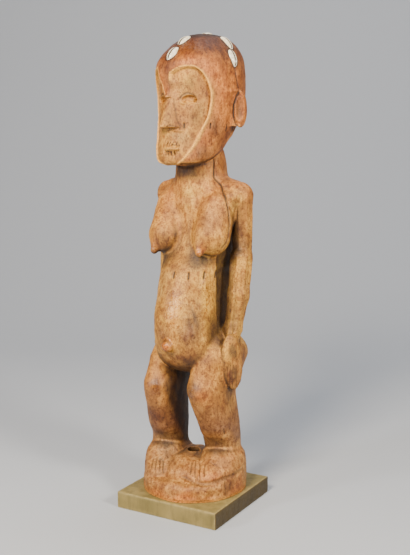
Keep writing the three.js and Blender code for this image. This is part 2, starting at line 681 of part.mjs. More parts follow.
// First point of the carving's surface on the way from outside
const TOUCH_STEPS = 200;
const TOUCH_SHARE = 0.6; // of the distance left, taken in each step
const touch = (from, direction) => {
  const size = Math.hypot(...direction);
  let point = from;
  for (let step = 0; step < TOUCH_STEPS; step += 1) {
    point = plus(point, direction, (TOUCH_SHARE * carving(point)) / size);
  }
  return point;
};
const vector = (point) => new THREE.Vector3(...point);

// A frame on the surface: x across, y along and z straight out
const frameAt = (point, along) => {
  const out = vector(slopeAt(point).slope).normalize();
  const across = new THREE.Vector3().crossVectors(along, out).normalize();
  const up = new THREE.Vector3().crossVectors(out, across);
  return new THREE.Matrix4().makeBasis(across, up, out).setPosition(vector(point));
};

// The body: the form's surface, thinned and cut off flat below
const GRID_LOW = [-84, -76, 8];
const GRID_HIGH = [84, 92, TOP + 6];
const bodySurface = surfaceOf(carving, GRID_LOW, GRID_HIGH, CELL);
let figure = solidOf(geometryOf(thinned(bodySurface, BODY_TRIANGLES)));
const CUTTER = 400;
const below = new THREE.BoxGeometry(CUTTER, CUTTER, CUTTER).translate(0, 0, FLOOR - CUTTER / 2);
figure = figure.subtract(solidOf(below));

// Cowrie shells: two on each arm of a cross, placed by their angle down from the crown and their bearing
const SHELL_HALF = [7, 11.6, 5];
const SHELL_FACETS = [10, 6]; // round it and from end to end
const SHELL_SINK = 2.2; // depth of its middle below the wood's surface
const SLIT_HALF = [0.9, 8.6, 1.6];
const SLIT_FACETS = [4, 4];
const HEAD_MIDDLE = [0, 22, 560];
const SHELL_START = 100; // distance from there that the way to the surface starts from
const SHELL_LEAN = -0.2; // tips a shell's length from straight up towards the crown
const COWRIES = {
  cowrie_front_low: [62.5, -4.5],
  cowrie_front_high: [38.5, -5],
  cowrie_left_low: [61, 88],
  cowrie_left_high: [36.5, 96],
  cowrie_right_low: [61, -88],
  cowrie_right_high: [36.5, -96],
  cowrie_back_low: [33, 180],
  cowrie_back_high: [7, 180],
};
const ball = (half, facets, place) =>
  new THREE.SphereGeometry(1, ...facets).rotateX(Math.PI / 2).scale(...half).applyMatrix4(place);
const shellPlace = ([down, bearing]) => {
  const [a, b] = [radians(down), radians(bearing)];
  const straight = [Math.sin(a) * Math.sin(b), -Math.sin(a) * Math.cos(b), Math.cos(a)];
  const outward = turned(straight, radians(BODY_TURN));
  const middle = turned(HEAD_MIDDLE, radians(BODY_TURN));
  const inward = outward.map((v) => -v);
  const seat = touch(plus(middle, outward, SHELL_START), inward);
  const crownwards = vector(plus([0, 0, 1], outward, SHELL_LEAN));
  return frameAt(seat, crownwards).multiply(new THREE.Matrix4().makeTranslation(0, 0, -SHELL_SINK));
};
for (const [name, angles] of Object.entries(COWRIES)) {
  const place = shellPlace(angles);
  const slitPlace = place.clone().multiply(new THREE.Matrix4().makeTranslation(0, 0, SHELL_HALF[2]));
  const slit = solidOf(ball(SLIT_HALF, SLIT_FACETS, slitPlace));
  const shell = solidOf(ball(SHELL_HALF, SHELL_FACETS, place)).subtract(slit);
  const seat = ball(SHELL_HALF.map((v) => v + TOUCH_GAP), SHELL_FACETS, place);
  figure = figure.subtract(solidOf(seat));
  addPiece(name, geometryOf(surfaceOfSolid(shell)), SHELL);
}

// Chip cuts: pointed slits from one point of the log's frame to another, seen from the given side
const handSide = turned([-1, 0, 0], radians(-HANDS.left.turn));
const TOWARDS = { front: [0, 1, 0], hand: handSide };
const START = 150; // distance outside that each point's way to the surface starts from
const CHIP_OVERRUN = 1; // that a cut runs on beyond each of its points
const chip = (side, from, to, halfWidth, depth) => {
  const [start, end] = [from, to].map((point) => {
    const direction = turned(TOWARDS[side], turnAt(point[2]));
    return touch(plus(fromLog(point), direction, -START), direction);
  });
  const middle = start.map((v, i) => (v + end[i]) / 2);
  const along = vector(minus(end, start));
  const halfLength = along.length() / 2 + CHIP_OVERRUN;
  const cutter = new THREE.OctahedronGeometry(1, 0).scale(halfWidth, halfLength, depth);
  return solidOf(cutter.applyMatrix4(frameAt(middle, along)));
};
const chips = [];
const frontChip = ([x0, z0], [x1, z1], { halfWidth, depth }) =>
  chips.push(chip("front", [x0, 0, z0], [x1, 0, z1], halfWidth, depth));

const BELLY_SLITS = { across: [0.5, 21.5, 36.2], top: 318, foot: 310.5, halfWidth: 1, depth: 2.5 };
const FACE_SLITS = { across: [18.7, 40.5], top: 505.5, foot: 499, halfWidth: 1, depth: 2.5 };
for (const slits of [BELLY_SLITS, FACE_SLITS]) {
  for (const x of slits.across) frontChip([x, slits.top], [x, slits.foot], slits);
}
const TOOTH_LINES = { heights: [477.6, 469.6], from: -7, to: 15, halfWidth: 1.4, depth: 2.5 };
for (const z of TOOTH_LINES.heights) frontChip([TOOTH_LINES.from, z], [TOOTH_LINES.to, z], TOOTH_LINES);
const TOES_ACROSS = [-47, -41, -35, -29, 11, 15, 21.5, 29];
const TOE_LINES = { top: 63, foot: 52, halfWidth: 1.1, depth: 2.4 };
const TOE_LEAN = 6.5; // the toes point this far to the figure's left over their length
for (const x of TOES_ACROSS) {
  frontChip([x, TOE_LINES.top], [x + TOE_LEAN, TOE_LINES.foot], TOE_LINES);
}
const FINGER_LINES = { shifts: [-6, 0, 6], top: 198, foot: 169, halfWidth: 1.4, depth: 2.8 };
const acrossHand = turned([0, 1, 0], radians(-HANDS.left.turn));
for (const shift of FINGER_LINES.shifts) {
  const [x, y] = plus(HANDS.left.middle, acrossHand, shift);
  const { top, foot, halfWidth, depth } = FINGER_LINES;
  chips.push(chip("hand", [x, y, top], [x, y, foot], halfWidth, depth));
}
figure = figure.subtract(wasm.Manifold.union(chips));
const finished = thinned(surfaceOfSolid(figure), FIGURE_TRIANGLES);
addPiece("figure", geometryOf(finished), WOOD);

// Plinth: a separate square block with softened edges
const half = PLINTH_SIDE / 2 - PLINTH_BEVEL;
const corners = [
  [-half, -half],
  [half, -half],
  [half, half],
  [-half, half],
];
const outline = new THREE.Shape(corners.map((xy) => new THREE.Vector2(...xy)));
const plinth = new THREE.ExtrudeGeometry(outline, {
  depth: PLINTH_HEIGHT - 2 * PLINTH_BEVEL,
  bevelSize: PLINTH_BEVEL,
  bevelThickness: PLINTH_BEVEL,
  bevelSegments: 1,
});
addPiece("plinth", plinth.translate(0, 0, PLINTH_BEVEL), PAINTED_WOOD);

export default object;
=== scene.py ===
# A standing carved wooden figure with cowrie shells in its crown, on a square plinth of painted wood.
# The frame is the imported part's own, in metres. +Z is up, -Y is the plinth's front and +X the figure's left.
# Shapes are worked out in millimetres and scaled down when each mesh is made.

import math
import random

import bmesh
import bpy
import numpy as np
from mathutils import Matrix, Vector, noise


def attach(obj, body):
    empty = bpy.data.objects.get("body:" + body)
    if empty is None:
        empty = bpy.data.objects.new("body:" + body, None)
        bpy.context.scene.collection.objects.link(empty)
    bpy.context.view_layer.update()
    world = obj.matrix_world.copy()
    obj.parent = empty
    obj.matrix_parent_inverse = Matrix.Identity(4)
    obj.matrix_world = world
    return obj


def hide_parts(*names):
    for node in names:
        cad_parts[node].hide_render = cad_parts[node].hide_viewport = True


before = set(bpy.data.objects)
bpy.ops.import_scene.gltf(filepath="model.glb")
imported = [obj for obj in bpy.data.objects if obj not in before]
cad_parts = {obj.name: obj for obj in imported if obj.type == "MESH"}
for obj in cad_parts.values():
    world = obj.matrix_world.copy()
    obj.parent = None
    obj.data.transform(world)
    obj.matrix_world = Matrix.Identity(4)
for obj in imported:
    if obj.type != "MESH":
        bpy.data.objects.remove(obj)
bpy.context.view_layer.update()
MM = 0.001


# The plinth: a separate square block of softwood under the figure.
# It is sawn, sanded and painted olive brown, and its edges are knocked and worn pale.
PLINTH_SIDE = 150
PLINTH_HEIGHT = 22.5
PLINTH_EDGE = 1.4  # rounding of its edges
PLINTH_STEP = 2.5  # mesh spacing
PLINTH_DENTS = [(0.12, 0.1), (0.45, -0.2)]  # along its edges: waves per millimetre, and level
PLINTH_WEAR = 0.35  # depth of the dents
BARE_REACH = 3.0  # how far from an edge the paint is thinned
SHADE_FROM, SHADE_FULL = 1.2, 0.4  # how far in from the side the painted shade starts and is full

OLIVE_PAINT = "#776938"
OLIVE_PAINT_DARK = "#534722"
OLIVE_PAINT_RUBBED = "#917F49"
PAINTED_SHADE = "#8E8268"  # painted shade: dulls the side away from the light
BARE_EDGE = "#A79562"


def linear(hex_colour):
    """An sRGB hex colour as linear red, green, blue and alpha."""
    parts = [int(hex_colour[i : i + 2], 16) / 255 for i in (1, 3, 5)]
    return [c / 12.92 if c <= 0.04045 else ((c + 0.055) / 1.055) ** 2.4 for c in parts] + [1.0]


MIX = {"data_type": "RGBA", "blend_type": "MIX"}
DARKEN = {"data_type": "RGBA", "blend_type": "MULTIPLY"}
TIMES = {"operation": "MULTIPLY"}


def add_node(tree, kind, settings=None, **links):
    """Adds a node. An input, by name or number, takes a value, a socket or another node's first output."""
    node = tree.nodes.new(kind)
    for key, value in (settings or {}).items():
        setattr(node, key, value)
    for key, value in links.items():
        socket = node.inputs[int(key[1:])] if key[1:].isdigit() else node.inputs[key.replace("_", " ")]
        if isinstance(value, bpy.types.Node):
            value = value.outputs[0]
        if isinstance(value, bpy.types.NodeSocket):
            tree.links.new(value, socket)
        else:
            socket.default_value = value
    return node


def start_material(name, roughness, ior):
    """A new material, its node tree, its shader and its object coordinates."""
    material = bpy.data.materials.new(name)
    material.use_nodes = True
    tree = material.node_tree
    shader = tree.nodes["Principled BSDF"]
    shader.inputs["Roughness"].default_value = roughness
    shader.inputs["IOR"].default_value = ior
    place = add_node(tree, "ShaderNodeTexCoord").outputs["Object"]
    return material, tree, shader, place


def store(mesh, name, values):
    """Keeps one number for each vertex on the mesh."""
    mesh.attributes.new(name, "FLOAT", "POINT").data.foreach_set("value", np.asarray(values, np.float32))


def vertex_array(mesh):
    co = np.empty(len(mesh.vertices) * 3)
    mesh.vertices.foreach_get("co", co)
    return co.reshape(-1, 3)


def make_plinth():
    """A block of small squares with rounded edges, dented a little where it was knocked."""
    bm = bmesh.new()
    bmesh.ops.create_cube(bm, size=1)
    cuts = {0: PLINTH_SIDE, 1: PLINTH_SIDE, 2: PLINTH_HEIGHT}
    for axis, length in cuts.items():
        pieces = round(length / PLINTH_STEP)
        for i in range(1, pieces):
            point, normal = Vector(), Vector()
            point[axis] = i / pieces - 0.5
            normal[axis] = 1
            everything = bm.verts[:] + bm.edges[:] + bm.faces[:]
            bmesh.ops.bisect_plane(bm, geom=everything, plane_co=point, plane_no=normal)
    half = Vector((PLINTH_SIDE / 2, PLINTH_SIDE / 2, PLINTH_HEIGHT / 2))
    for vert in bm.verts:
        at = Vector([vert.co[i] * 2 * half[i] for i in range(3)])
        core = Vector([max(-h + PLINTH_EDGE, min(h - PLINTH_EDGE, v)) for v, h in zip(at, half)])
        out = at - core
        at_edge = sum(abs(abs(v) - h) < 1e-6 for v, h in zip(at, half)) > 1
        if out.length > 0:
            at = core + out.normalized() * PLINTH_EDGE
        if at_edge:
            dent = sum(max(noise.noise(at * waves) + level, 0) for waves, level in PLINTH_DENTS)
            at -= out.normalized() * dent * PLINTH_WEAR
        at.z += half.z
        vert.co = at * MM
    mesh = bpy.data.meshes.new("plinth_block")
    bm.to_mesh(mesh)
    bm.free()
    at = vertex_array(mesh) / MM
    sides = [PLINTH_SIDE / 2 - np.abs(at[:, 0]), PLINTH_SIDE / 2 - np.abs(at[:, 1])]
    ends = PLINTH_HEIGHT / 2 - np.abs(at[:, 2] - PLINTH_HEIGHT / 2)
    nearest = np.sort(np.stack(sides + [ends]), axis=0)
    store(mesh, "edge", np.clip(1 - nearest[1] / BARE_REACH, 0, 1))
    block = bpy.data.objects.new("plinth_block", mesh)
    bpy.context.collection.objects.link(block)
    return block


def olive_painted_wood():
    """Old flat olive paint on softwood: brushed streaks, rubbed paler patches, bare edges, and painted shade
    on one side.
    """
    material, tree, shader, place = start_material("olive painted softwood", 0.62, 1.5)
    # patches of about 40 mm, brush marks of 8 mm and chips of 5 mm
    broad = add_node(tree, "ShaderNodeTexNoise", Vector=place, Scale=26, Detail=4, Roughness=0.6)
    rubbed = add_node(tree, "ShaderNodeMapRange", Value=broad, From_Min=0.38, From_Max=0.66)
    paint, pale_paint = linear(OLIVE_PAINT), linear(OLIVE_PAINT_RUBBED)
    colour = add_node(tree, "ShaderNodeMix", MIX, _0=rubbed, _6=paint, _7=pale_paint)
    drawn_up = add_node(tree, "ShaderNodeMapping", Vector=place, Scale=(1, 1, 0.25))
    brushed = add_node(tree, "ShaderNodeTexNoise", Vector=drawn_up, Scale=120, Detail=3, Roughness=0.6)
    streaks = add_node(tree, "ShaderNodeMapRange", Value=brushed, From_Min=0.45, From_Max=0.75, To_Max=0.55)
    dark_paint = linear(OLIVE_PAINT_DARK)
    colour = add_node(tree, "ShaderNodeMix", MIX, _0=streaks, _6=colour.outputs[2], _7=dark_paint)
    chips = add_node(tree, "ShaderNodeTexNoise", Vector=place, Scale=210, Detail=3, Roughness=0.6)
    broken = add_node(tree, "ShaderNodeMapRange", Value=chips, From_Min=0.35, From_Max=0.6, To_Min=0.25)
    near_edge = add_node(tree, "ShaderNodeAttribute", {"attribute_name": "edge"})
    bare = add_node(tree, "ShaderNodeMath", TIMES, _0=near_edge.outputs["Fac"], _1=broken)
    colour = add_node(tree, "ShaderNodeMix", MIX, _0=bare, _6=colour.outputs[2], _7=linear(BARE_EDGE))
    # painted shade: the block's +X side is darkened as the side away from the light
    sideways = add_node(tree, "ShaderNodeSeparateXYZ", Vector=place)
    side = PLINTH_SIDE / 2 * MM
    shaded_side = add_node(
        tree,
        "ShaderNodeMapRange",
        Value=sideways.outputs["X"],
        From_Min=side - SHADE_FROM * MM,
        From_Max=side - SHADE_FULL * MM,
    )
    colour = add_node(tree, "ShaderNodeMix", DARKEN, _0=shaded_side, _6=colour.outputs[2], _7=linear(PAINTED_SHADE))
    tree.links.new(colour.outputs[2], shader.inputs["Base Color"])
    matt = add_node(
        tree, "ShaderNodeMapRange", Value=chips, From_Min=0.3, From_Max=0.7, To_Min=0.5, To_Max=0.75
    )
    tree.links.new(matt.outputs[0], shader.inputs["Roughness"])
    bump = add_node(tree, "ShaderNodeBump", Height=chips, Strength=0.35, Distance=0.6 * MM)
    tree.links.new(bump.outputs[0], shader.inputs["Normal"])
    return material


def finish_piece(piece, material, nodes):
    """Gives a piece its material and its place in the part."""
    piece.data.materials.clear()
    piece.data.materials.append(material)
    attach(piece, "root")
    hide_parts(*nodes)


plinth = make_plinth()
finish_piece(plinth, olive_painted_wood(), ["plinth"])


# The figure: one log, carved all round with its own round base.
# It was cut with an adze and knife, smoothed and oiled, and long handling left it glossy and dark in patches.
# It is worked out as a form: each part joins the rest with a soft edge, and the cuts are taken out of it.
FLOOR = PLINTH_HEIGHT + 0.3  # underside of the carving
TOP = 618.5

STANCE_TURN = 5.7  # degrees that the feet are turned towards the figure's left
BODY_TURN = -7.3  # degrees for the trunk and head: the log has a slight twist
TWIST_FROM = 90
TWIST_TO = 250


def smooth_step(low, high, value):
    t = np.clip((value - low) / (high - low), 0, 1)
    return t * t * (3 - 2 * t)


def log_turn(z):
    """The angle in radians that the log is turned by at a height."""
    return np.radians(STANCE_TURN + (BODY_TURN - STANCE_TURN) * smooth_step(TWIST_FROM, TWIST_TO, z))


def turned(p, angle):
    c, s = np.cos(angle), np.sin(angle)
    return (c * p[0] - s * p[1], s * p[0] + c * p[1], p[2])


def join(a, b, soft):
    """Two forms as one, with a soft edge of the given width between them."""
    h = np.maximum(soft - np.abs(a - b), 0) / soft
    return np.minimum(a, b) - h * h * soft / 4


def cut(a, b, soft):
    """Form a without form b."""
    return -join(-a, b, soft)


def ellipsoid(p, middle, half):
    q = [p[i] - middle[i] for i in range(3)]
    k0 = np.sqrt(sum((q[i] / half[i]) ** 2 for i in range(3)))
    k1 = np.sqrt(sum((q[i] / half[i] ** 2) ** 2 for i in range(3)))
    return k0 * (k0 - 1) / np.maximum(k1, 1e-9)


def along_limb(p, start, end):
    """How far along a limb each point lies, from 0 to 1, and its offset from the limb's axis."""
    axis = np.subtract(end, start)
    q = [p[i] - start[i] for i in range(3)]
    t = np.clip((q[0] * axis[0] + q[1] * axis[1] + q[2] * axis[2]) / np.dot(axis, axis), 0, 1)
    return t, [q[i] - t * axis[i] for i in range(3)]


def length(q):
    return np.sqrt(q[0] ** 2 + q[1] ** 2 + q[2] ** 2)


def limb(p, start, end, start_radius, end_radius):
    t, away = along_limb(p, start, end)
    return length(away) - (start_radius + t * (end_radius - start_radius))


FLAT_REACH = 0.93  # distance of each flat from the limb's axis, as a share of its radius


def faceted_limb(p, start, end, start_radius, end_radius, turn):
    """A limb pared to eight flat sides. One of them faces the given number of degrees from the front."""
    t, away = along_limb(p, start, end)
    radius = start_radius + t * (end_radius - start_radius)
    form = length(away) - radius
    for side in range(4):
        angle = math.radians(turn + 45 * side)
        out = np.abs(away[0] * math.sin(angle) - away[1] * math.cos(angle))
        form = np.maximum(form, out - FLAT_REACH * radius)
    return form


def rounded_box(p, middle, half, rounding):
    q = [np.abs(p[i] - middle[i]) - half[i] + rounding for i in range(3)]
    outside = np.sqrt(sum(np.maximum(v, 0) ** 2 for v in q))
    return outside + np.minimum(np.maximum(np.maximum(q[0], q[1]), q[2]), 0) - rounding


def disc(p, middle, radius, half_height, rounding):
    across = np.hypot(p[0] - middle[0], p[1] - middle[1]) - radius + rounding
    along = np.abs(p[2] - middle[2]) - half_height + rounding
    outside = np.hypot(np.maximum(across, 0), np.maximum(along, 0))
    return outside + np.minimum(np.maximum(across, along), 0) - rounding


def soft_curve(rows, at):
    """The values beside each row's first number, on a smooth curve through the rows."""
    rows = np.array(rows, float)
    knots = rows[:, 0]
    last = len(rows) - 1
    low, high = np.maximum(np.arange(last + 1) - 1, 0), np.minimum(np.arange(last + 1) + 1, last)
    slopes = (rows[high] - rows[low]) / (knots[high] - knots[low])[:, None]
    i = np.clip(np.searchsorted(knots, at, "left") - 1, 0, last - 1)
    span = knots[i + 1] - knots[i]
    t = np.clip((at - knots[i]) / span, 0, 1)
    t2, t3 = t * t, t * t * t
    shares = (2 * t3 - 3 * t2 + 1, (t3 - 2 * t2 + t) * span, 3 * t2 - 2 * t3, (t3 - t2) * span)
    values = []
    for c in range(1, rows.shape[1]):
        start, end = rows[i, c] * shares[0] + slopes[i, c] * shares[1], rows[i + 1, c] * shares[2]
        values.append(start + end + slopes[i + 1, c] * shares[3])
    return values


def column(p, sections, roundness):
    """A form built up from level sections: each is (height, centre x, centre y, half width, half depth)."""
    x, y, half_width, half_depth = soft_curve(sections, p[2])
    across = np.abs((p[0] - x) / half_width) ** roundness
    ring = (across + np.abs((p[1] - y) / half_depth) ** roundness) ** (1 / roundness)
    side = (ring - 1) * np.minimum(half_width, half_depth)
    return np.maximum(np.maximum(side, p[2] - sections[-1][0]), sections[0][0] - p[2])


# Its base and feet: a low round block, a mound with a blind hole, and domed insteps with rounded toes.
BASE = ((0, 0, 28), 70, 18, 9)
BASE_WAVES = [(3, 0.9, 1.1, 0), (8, 0.54, 0, 0.04)]  # round the base: count, height, place and lean
MOUND = ((0, 2, 36), (60, 58, 37))
MOUND_SOFT = 8
INSTEP = ((40, 8, 46), (36, 44, 41))
TOES = ((34, -26, 44), (24, 26, 19))
TOES_SOFT = 10
FOOT_REACH = ((0, 0, 50), 71, 60, 4)  # the feet stop at the base's own outline
FOOT_REACH_SOFT = 8
FEET_SOFT = 2
HOLES = [((-1, -3, 82), (-1, 6, 46), 7.5, 6, 1.5), ((7, -4, 77), (3, 2, 60), 3, 2.5, 1)]


def base_and_feet(d, p, m):
    block = disc(p, *BASE)
    around = np.arctan2(p[0], -p[1])
    for count, height, place, lean in BASE_WAVES:
        block = block - height * np.sin(count * around + place + lean * p[2])
    block = join(block, ellipsoid(p, *MOUND), MOUND_SOFT)
    foot = join(ellipsoid(m, *INSTEP), ellipsoid(m, *TOES), TOES_SOFT)
    foot = cut(foot, -disc(m, *FOOT_REACH), FOOT_REACH_SOFT)
    d = join(block, foot, FEET_SOFT)
    for start, end, radius, end_radius, soft in HOLES:
        d = cut(d, limb(p, start, end, radius, end_radius), soft)
    return d


# Its legs: bent at the knee, the right one narrower on its inner side.
LEG_SHIFT = -2.5
HIP_SHIFT = 0.5
HIP_SPAN = (175, 215)  # heights between which the shift changes
LEG_OUTSIDE = 60
RIGHT_LEG_NARROWING = 0.12
KNEE_SPAN = (100, 150, 190, 225)  # the narrowing starts, is full, begins to fade, and ends
LEGS_SOFT = 2.5
LEG_ROUNDNESS = 2.2
LEG = [
    (60, 40, 14, 24, 26),
    (86, 39, 12, 24.5, 26),
    (107, 38, 5, 25.5, 32),
    (133, 35, -1, 26, 38),
    (150, 33.5, -5, 25.5, 42),
    (166, 33, -4, 26, 47),
    (185, 33.5, 8, 26, 50),
    (204, 33, 14, 28, 49),
    (225, 30, 14, 25, 37),
    (246, 20, 10, 14, 24),
]


def legs(d, p, m):
    z = p[2]
    shift = LEG_SHIFT + (HIP_SHIFT - LEG_SHIFT) * smooth_step(*HIP_SPAN, z)
    across = np.abs(p[0] - shift)
    at_knee = smooth_step(*KNEE_SPAN[:2], z) * (1 - smooth_step(*KNEE_SPAN[2:], z))
    narrowing = RIGHT_LEG_NARROWING * at_knee * (p[0] < shift)
    widened = LEG_OUTSIDE - (LEG_OUTSIDE - across) / (1 - narrowing)
    return join(d, column((widened, p[1], z), LEG, LEG_ROUNDNESS), LEGS_SOFT)


# Its trunk: a full rounded belly that ends in a crisp arris at each side, a flat back and a knob of a navel.
TRUNK_ROUNDNESS = 2.3
TRUNK = [
    (184, 0, -1, 27, 24),
    (196, 0, -6, 38, 36),
    (215, 0, -8, 43, 45),
    (253, 0, -8, 42, 51),
    (286, 0, -5, 41, 47),
    (316, 0, -1, 41, 42),
    (343, 0, 4, 42, 32),
    (390, 0, 8, 50, 25),
    (420, 0, 12, 48, 22),
]
TRUNK_ARRIS = -5
BACKS = [((0, 10, 300), (35, 28, 110), 9, 2), ((0, 17, 372), (37, 27, 58), 9, 4)]  # the last is its soft edge
NAVEL = ((1, -57, 224), (1, -40, 224), 8.5, 8.5)
NAVEL_SOFT = 4
TRUNK_SOFT = 3


def trunk(d, p, m):
    body = np.maximum(column(p, TRUNK, TRUNK_ROUNDNESS), p[1] - TRUNK_ARRIS)
    for middle, half, rounding, soft in BACKS:
        body = join(body, rounded_box(p, middle, half, rounding), soft)
    body = join(body, limb(p, *NAVEL), NAVEL_SOFT)
    return join(d, body, TRUNK_SOFT)


# Its shoulders and breasts: the left breast is the fuller one.
SHOULDERS = ((0, 16, 420), (58, 21, 415), 27, 17)
BREAST_ROOT = ((36, 4, 400), 23)
LEFT_BREAST = ((38, -13, 363), 25, (37, -36.5, 344))
RIGHT_BREAST = ((31, -17, 361.5), 24.5, (36.5, -37, 343))
NIPPLE_ROOT = (-2, 5, 8)  # from a nipple's tip to its root
NIPPLE_RADII = (9, 5.5)
NIPPLE_SOFT = 6
SHOULDER_PLANE = ((55, 7, 412), (50, 12, 388), 10, 9)  # flat between the breast and the arm
PLANE_SOFT = 3
BUST_SOFT = 5


def bust(d, p, m):
    breasts = []
    for middle, radius, nipple in (LEFT_BREAST, RIGHT_BREAST):
        full = limb(m, BREAST_ROOT[0], middle, BREAST_ROOT[1], radius)
        root = [nipple[i] + NIPPLE_ROOT[i] for i in range(3)]
        breasts.append(join(full, limb(m, root, nipple, *NIPPLE_RADII), NIPPLE_SOFT))
    breast = np.where(p[0] < 0, breasts[1], breasts[0])
    breast = join(breast, limb(m, *SHOULDER_PLANE), PLANE_SOFT)
    return join(d, join(limb(m, *SHOULDERS), breast, BUST_SOFT), BUST_SOFT)


# Its arms: cut free of the trunk from armpit to wrist, pared in long flats, with the hands laid on the hips.
ELBOW = (55.5, 31, 339)
UPPER_ARM = ((60.5, 22, 410), ELBOW, 15.5, 13.5, 38)
FOREARM = ((58, 25, 332), (56.5, 21, 285), 16, 15, 38)
LOW_FOREARM = ((56.5, 21, 285), (52, 16, 243), 15, 12.5, 38)
WRIST = ((52, 14, 240), (58, 2, 212), 11, 9)
LEFT_HAND = ((62.5, -5, 201), (8.5, 15, 38), 35)
RIGHT_HAND = ((53, 14, 199), (8.5, 12.5, 34), 10)
FOREARM_SOFT = 4
ELBOW_SOFT = 3
HAND_SOFT = 8
ARMS_SOFT = 3


def arms(d, p, m):
    arm = join(faceted_limb(m, *FOREARM), faceted_limb(m, *LOW_FOREARM), FOREARM_SOFT)
    arm = join(faceted_limb(m, *UPPER_ARM), arm, ELBOW_SOFT)
    arm = join(arm, limb(m, *WRIST), HAND_SOFT)
    hands = []
    for middle, half, turn in (LEFT_HAND, RIGHT_HAND):
        q = tuple(m[i] - middle[i] for i in range(3))
        hands.append(ellipsoid(turned(q, math.radians(turn)), (0, 0, 0), half))
    hand = np.where(p[0] < 0, hands[1], hands[0])
    return join(d, join(arm, hand, HAND_SOFT), ARMS_SOFT)


# Its neck and head: the head is built up in sections, with a small ear high up at each side.
NECK = ((0, 16, 440), (33, 36, 60))
HEAD_ROUNDNESS = 2.2
HEAD = [
    (452, 0, -33, 14, 13),
    (456, 0, -25, 29, 27),
    (466, 0, -13.5, 37.5, 39),
    (485, 0, -0.5, 42.5, 50),
    (510, 0, 10, 48, 59),
    (540, 0, 15, 52, 63),
    (578, 0, 16, 50, 63),
    (594, 0, 20, 44, 55),
    (609, 0, 24, 32, 39),
    (616, 0, 24, 20, 24),
    (TOP, 0, 23, 9, 11),
]
EAR = ((51.5, 30, 523), (8.5, 11.5, 23.5))
EAR_FACING = 38  # degrees that its hollow faces away from the front
EAR_HOLLOW = ((-0.3, -10.8, 1), (7.2, 5, 18.5))
EAR_HOLLOW_SOFT = 1
EAR_TABS = [((46, 17, 503), (53, 25, 502), 2.2, 2.2), ((51, 10, 544.5), (51.5, 26, 545.5), 2.2, 2.2)]
EAR_ROOT = ((47, 21, 508), (48, 21, 538), 5.5, 5.5)  # the ear's front edge runs into the head
EAR_ROOT_SOFT = 4
EAR_SOFT = 2
NECK_SOFT = 12
HEAD_SOFT = 3

# Its face: a sunk heart with a raised rim. The forehead runs down between its lobes to a long wedge of nose.
# The eyes lie in hollows, and the teeth show as a light bar between short knife cuts.
FACE_HALF_WIDTHS = [(452, 4), (456, 14), (461, 19.5), (474, 27.5), (492, 33.5), (509.5, 39.2), (527, 42.3)]
FACE_HALF_WIDTHS += [(540, 43), (551, 41.5), (560, 39), (569, 33.5), (577, 24)]
FACE_DEPTH = [(452, 1.2), (480, 1.8), (510, 3.5), (575, 4)]
FACE_BEVEL = 5
FACE_FRONT = 20  # the relief fades out between the head's middle and here
FAR_SIDE, FAR_SIDE_FROM = 2.5, 20  # the face is this much wider on the figure's right, from so far out
BEYOND = 50  # stands for a point far from the rim
RIM_HEIGHT = 0.9
RIM_MIDDLE = -0.8  # outside the face's edge
RIM_HALF_WIDTHS = (0.5, 2.6)  # where its top ends and its foot is
FOREHEAD_POINT = [(536, -9.5, -4), (550, -15, -0.5), (563, -22, 1.5), (576, -27, 3)]
FADE_TOP, FADE_HEIGHT = 561, 8
FADE_ACROSS = (-10, -7, 9, 12)
FADE_REACH = 11  # how far the soft slope beside the forehead point reaches
LOBE_TOP, LOBE_MIDDLE, LOBE_HALF_SPAN, LOBE_FALL = 572, 24, 24, 8

# Its nose: each pair is the value at the root and at the base.
NOSE_ROOT, NOSE_BASE = 540, 499
NOSE_SHAPE = [(-4, -8), (13, 22), (4, 13), (2.5, 11)]  # ridge, near width, far width and height
NOSE_CROWNING = 1.6
NOSE_ROOT_BLEND = (-0.15, 0.1)  # shares of its length over which it rises from the brow
NOSE_BASE_ROUNDING = 1.2

# Its low swellings and hollows: middle, half width, half height, and height or depth.
EYES = [(21.5, 533, 1), (-18, 533, -1)]
SOCKET = (0, 0, 9.5, 6.5, 4.2)
SOCKET_FULLNESS = 1.6
EYEBALL = (-2, -3.4, 7.5, 2.6, 2.8)
EYE_CORNER = (4.5, -1, 2.3, 2.3, 1.8)
MOUTH = (4, 474, 14, 9, 2.2)
UNDER_NOSE = (10, 495.2, 10, 1.8, 0.8)
TEETH_BAR = (4.2, 473.4, 10.8, 1.7, 1.5)
TEETH_BAR_EDGE = 0.8
TEETH_GAPS = [(x, 477.6, 1.4, 3.6, 1.7) for x in (-2.5, 1, 5, 12)]
TEETH_GAPS += [(x, 468.4, 1.3, 3.8, 1.7) for x in (-7, 1.5, 9)]


def bulge(x, z, middle_x, middle_z, half_x, half_z, height):
    """A swelling of the given height in the middle of an oval, falling smoothly to 0 at its edge."""
    out = ((x - middle_x) / half_x) ** 2 + ((z - middle_z) / half_z) ** 2
    return height * (1 - smooth_step(0, 1, out))


def face_inside(p):
    """How far inside the rim of the face each point is, in millimetres, seen from the front."""
    x, z = p[0], p[2]
    across = np.where(x < 0, -x - FAR_SIDE * smooth_step(0, -FAR_SIDE_FROM, x), x)
    from_side = soft_curve(FACE_HALF_WIDTHS, z)[0] - across
    from_top = LOBE_TOP - LOBE_FALL * ((np.abs(x) - LOBE_MIDDLE) / LOBE_HALF_SPAN) ** 2 - z
    far_edge, near_edge = soft_curve(FOREHEAD_POINT, z)
    from_point = np.where(z > FOREHEAD_POINT[0][0], np.maximum(far_edge - x, x - near_edge), BEYOND)
    inside = np.minimum(np.minimum(from_side, from_top), from_point)
    return np.where((p[1] < FACE_FRONT) & (z > FACE_HALF_WIDTHS[0][0]), inside, -BEYOND)


def faded(x, z):
    """1 where the face has a crisp rim, and 0 where its near lobe runs softly into the nose."""
    low, low_full, high_full, high = FADE_ACROSS
    level = smooth_step(FADE_TOP, FADE_TOP - FADE_HEIGHT, z)
    return 1 - level * smooth_step(low, low_full, x) * smooth_step(high, high_full, x)


